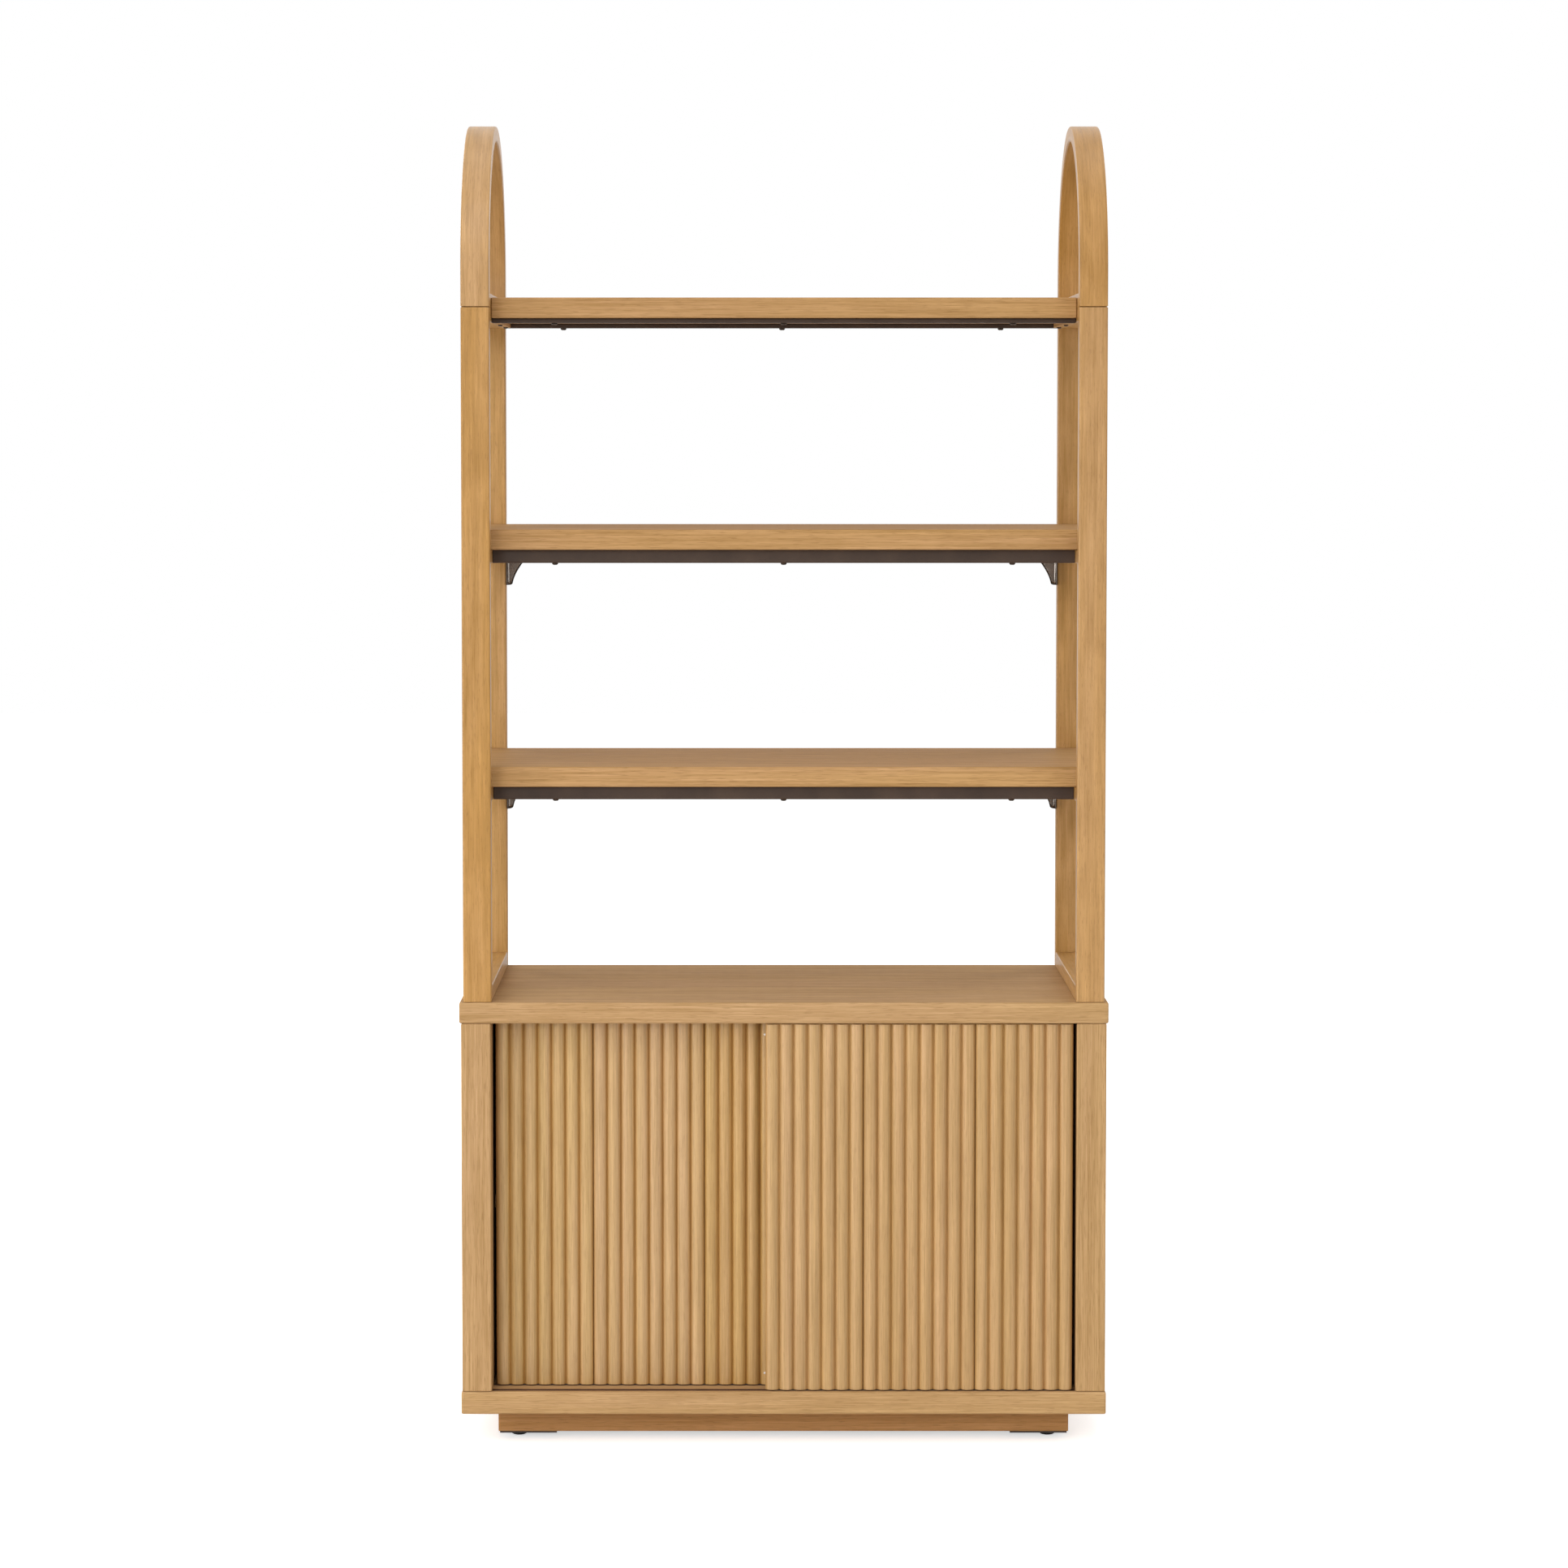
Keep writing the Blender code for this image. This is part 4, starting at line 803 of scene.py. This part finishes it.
def makeGlide(place, side):
    # Turned profile (radius, height) from the foot's middle up to the stem's tip. A thread is cut
    # into the stem, thread depth x |2 x wave - 1| deep, where the wave is what is left of
    # height / pitch - angle / full turn after its whole turns
    s = glideSettings
    node = "glide_" + place + "_" + side
    low, high = np.array(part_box(node))
    middle = (low + high) / 2
    height, easing, stemRadius = s["height"], s["rimEasing"], s["stemRadius"]
    stemTop = height + s["stemLength"]
    turn = np.linspace(np.pi / 2, 0, s["domeSteps"] + 1)
    dome = np.stack([s["flatRadius"] + (s["radius"] - s["flatRadius"]) * np.cos(turn),
                     (height - s["rim"]) * (1 - np.sin(turn))], axis=1)
    rimTurn = quarterTurn(s["rimSteps"])
    rim = np.stack([s["radius"] - easing + easing * np.cos(rimTurn),
                    height - easing + easing * np.sin(rimTurn)], axis=1)
    levels = np.linspace(height + s["stemFrom"], stemTop - s["tipEasing"], s["stemRings"])
    stem = np.stack([np.full(len(levels), stemRadius), levels], axis=1)
    profile = np.concatenate([[[s["firstRadius"], 0]], dome, rim,
                              [[stemRadius + s["collar"], height]], stem,
                              [[stemRadius - s["tipEasing"], stemTop]]])
    angle = fullTurn(s["around"])
    cut = np.zeros((len(profile), len(angle)))
    wave = (profile[:, 1:] / s["threadPitch"] - angle[None, :] / (2 * np.pi)) % 1
    threaded = (profile[:, 1] > height + s["threadFrom"]) & (profile[:, 0] == stemRadius)
    cut[threaded] = s["threadDepth"] * np.abs(wave[threaded] * 2 - 1)
    radius = profile[:, :1] - cut
    rings = np.stack([middle[0] + radius * np.cos(angle), middle[1] + radius * np.sin(angle),
                      np.broadcast_to(low[2] + profile[:, 1:], radius.shape)], axis=-1)
    pieceFromRings("glide" + place.capitalize() + side.capitalize(), rings, glidePlastic,
                   node + "_body", (node,))


for place in ("front", "rear"):
    for side in sideSigns:
        makeGlide(place, side)
print("glides made")

# CAD nodes that stay, with their finishes
keptNodes = {
    "cabinet_top": panelWoodLong, "cabinet_bottom": panelWoodLong, "inner_shelf": panelWoodLong,
    "cabinet_side_left": panelWoodUpright, "cabinet_side_right": panelWoodUpright,
    "back_panel": backBoard,
    "plinth_front": plinthWoodLong, "plinth_rear": plinthWoodLong,
    "plinth_left": plinthWoodDeep, "plinth_right": plinthWoodDeep,
    "front_track": trackPlastic, "rear_track": trackPlastic,
    "left_door_runner": runnerNylonShade, "right_door_runner": runnerNylonShade,
}
for place in ("front", "rear"):
    for side in sideSigns:
        keptNodes["corner_plate_" + place + "_" + side] = plateSteel
        keptNodes["shelf_pin_" + place + "_" + side] = pinSteel
for node, material in keptNodes.items():
    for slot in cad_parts[node].material_slots:
        slot.material = material
unfinished = [name for name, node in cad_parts.items()
              if not node.hide_render and name not in keptNodes]
print("CAD nodes finished:", len(keptNodes), "left:", unfinished)

# Floor, world, lamps and camera. The floor is seen brighter by its glow, and worldDiffuse is the
# world's light on the object
stageSettings = dict(floorColour="F2F1EF", floorReach=14.0, floorRoughness=0.9, floorGlow=0.6,
                     worldDiffuse=0.50, white=(1, 1, 1, 1))
lampSettings = {
    # A softbox to the left and a little above, as in the photograph's highlights
    "keyLamp": dict(place=(-2.63, -8.32, 3.10), aim=(0, -0.19, 0.8), size=(1.7, 1.7), power=106),
    # A low narrow one that picks out the flutes
    "sideLamp": dict(place=(-3.7, -2.2, 0.95), aim=(0, -0.19, 0.35), size=(2.6, 1.2), power=7,
                     spread=50),
    # Broad light from above for the shelves' faces, from the front and from straight overhead
    "topLamp": dict(place=(-2.0, -5.4, 6.5), aim=(0, 0, 0.8), size=(4.5, 4.5), power=180),
    "overheadLamp": dict(place=(0, -0.3, 6.5), aim=(0, 0, 0.8), size=(4.0, 4.0), power=60),
    # Weak fill from the right, and two lamps for the views from behind
    "fillLamp": dict(place=(4.2, -6.0, 2.2), aim=(0, 0, 0.7), size=(3.6, 3.6), power=45),
    "rearLeftLamp": dict(place=(-3.5, 3.6, 2.9), aim=(0, 0, 0.8), size=(2.0, 2.0), power=56),
    "rearRightLamp": dict(place=(3.5, 3.6, 2.9), aim=(0, 0, 0.8), size=(2.0, 2.0), power=56),
}


def makeFloor():
    # A flat square; camera rays add a glow, so that it reads white but keeps the shadow
    s = stageSettings
    reach = s["floorReach"]
    mesh = bpy.data.meshes.new("studioFloor")
    mesh.from_pydata([(-reach, -reach, 0), (reach, -reach, 0), (reach, reach, 0),
                      (-reach, reach, 0)], [], [(0, 1, 2, 3)])
    floor = bpy.data.objects.new("studioFloor", mesh)
    bpy.context.scene.collection.objects.link(floor)
    # Matt painted studio floor, rolled: flat white without gloss
    material, tree, shader = startMaterial("matt white studio paint", dict(
        roughness=s["floorRoughness"], colour=hexColour(s["floorColour"]), emission=s["white"]))
    seen = addNode(tree, "LightPath", {}, "Is Camera Ray")
    glow = addNode(tree, "Math", {0: seen, 1: s["floorGlow"]}, operation="MULTIPLY")
    tree.links.new(glow, shader.inputs["Emission Strength"])
    mesh.materials.append(material)


def makeWorld():
    # Camera, glossy and transmission rays see plain white; the light on the object is weaker
    world = bpy.data.worlds.new("white studio")
    bpy.context.scene.world = world
    world.use_nodes = True
    tree = world.node_tree
    seen = addNode(tree, "LightPath", {}, "Is Camera Ray")
    rays = seen.node.outputs
    for ray in ("Is Glossy Ray", "Is Transmission Ray"):
        seen = addNode(tree, "Math", {0: seen, 1: rays[ray]}, operation="MAXIMUM")
    strength = addNode(tree, "MapRange", {"Value": seen, "To Min": stageSettings["worldDiffuse"]})
    background = tree.nodes["Background"]
    background.inputs["Color"].default_value = stageSettings["white"]
    tree.links.new(strength, background.inputs["Strength"])


def makeLamp(name, look):
    # A lamp shines along its own -Z: it is tilted up from straight down by atan2(level distance,
    # drop) and then turned round Z towards its aim
    lamp = bpy.data.lights.new(name, "AREA")
    lamp.shape = "RECTANGLE"
    lamp.size, lamp.size_y = look["size"]
    lamp.energy = look["power"]
    lamp.spread = math.radians(look.get("spread", 180))
    item = bpy.data.objects.new(name, lamp)
    bpy.context.scene.collection.objects.link(item)
    item.location = look["place"]
    item.visible_camera = False
    towards = np.array(look["aim"]) - np.array(look["place"])
    flat = math.hypot(towards[0], towards[1])
    item.rotation_euler = (math.atan2(flat, -towards[2]), 0, math.atan2(-towards[0], towards[1]))


cameraSettings = dict(place=(-0.04555, -5.54902, 1.25381), pitchDown=3.5668, lens=100.514,
                      sensor=36, shiftX=0.02367, shiftY=-0.05, nearest=0.05, farthest=60)


def makeCamera():
    s = cameraSettings
    camera = bpy.data.cameras.new("catalogueView")
    camera.sensor_width = s["sensor"]
    camera.lens = s["lens"]
    camera.shift_x = s["shiftX"]
    camera.shift_y = s["shiftY"]
    camera.clip_start = s["nearest"]
    camera.clip_end = s["farthest"]
    camera.dof.use_dof = False
    item = bpy.data.objects.new("catalogueView", camera)
    bpy.context.scene.collection.objects.link(item)
    item.location = s["place"]
    item.rotation_euler = (math.radians(90 - s["pitchDown"]), 0, 0)
    bpy.context.scene.camera = item


makeFloor()
makeWorld()
for name, look in lampSettings.items():
    makeLamp(name, look)
makeCamera()
bpy.context.scene.view_settings.view_transform = "Standard"
print("stage made")
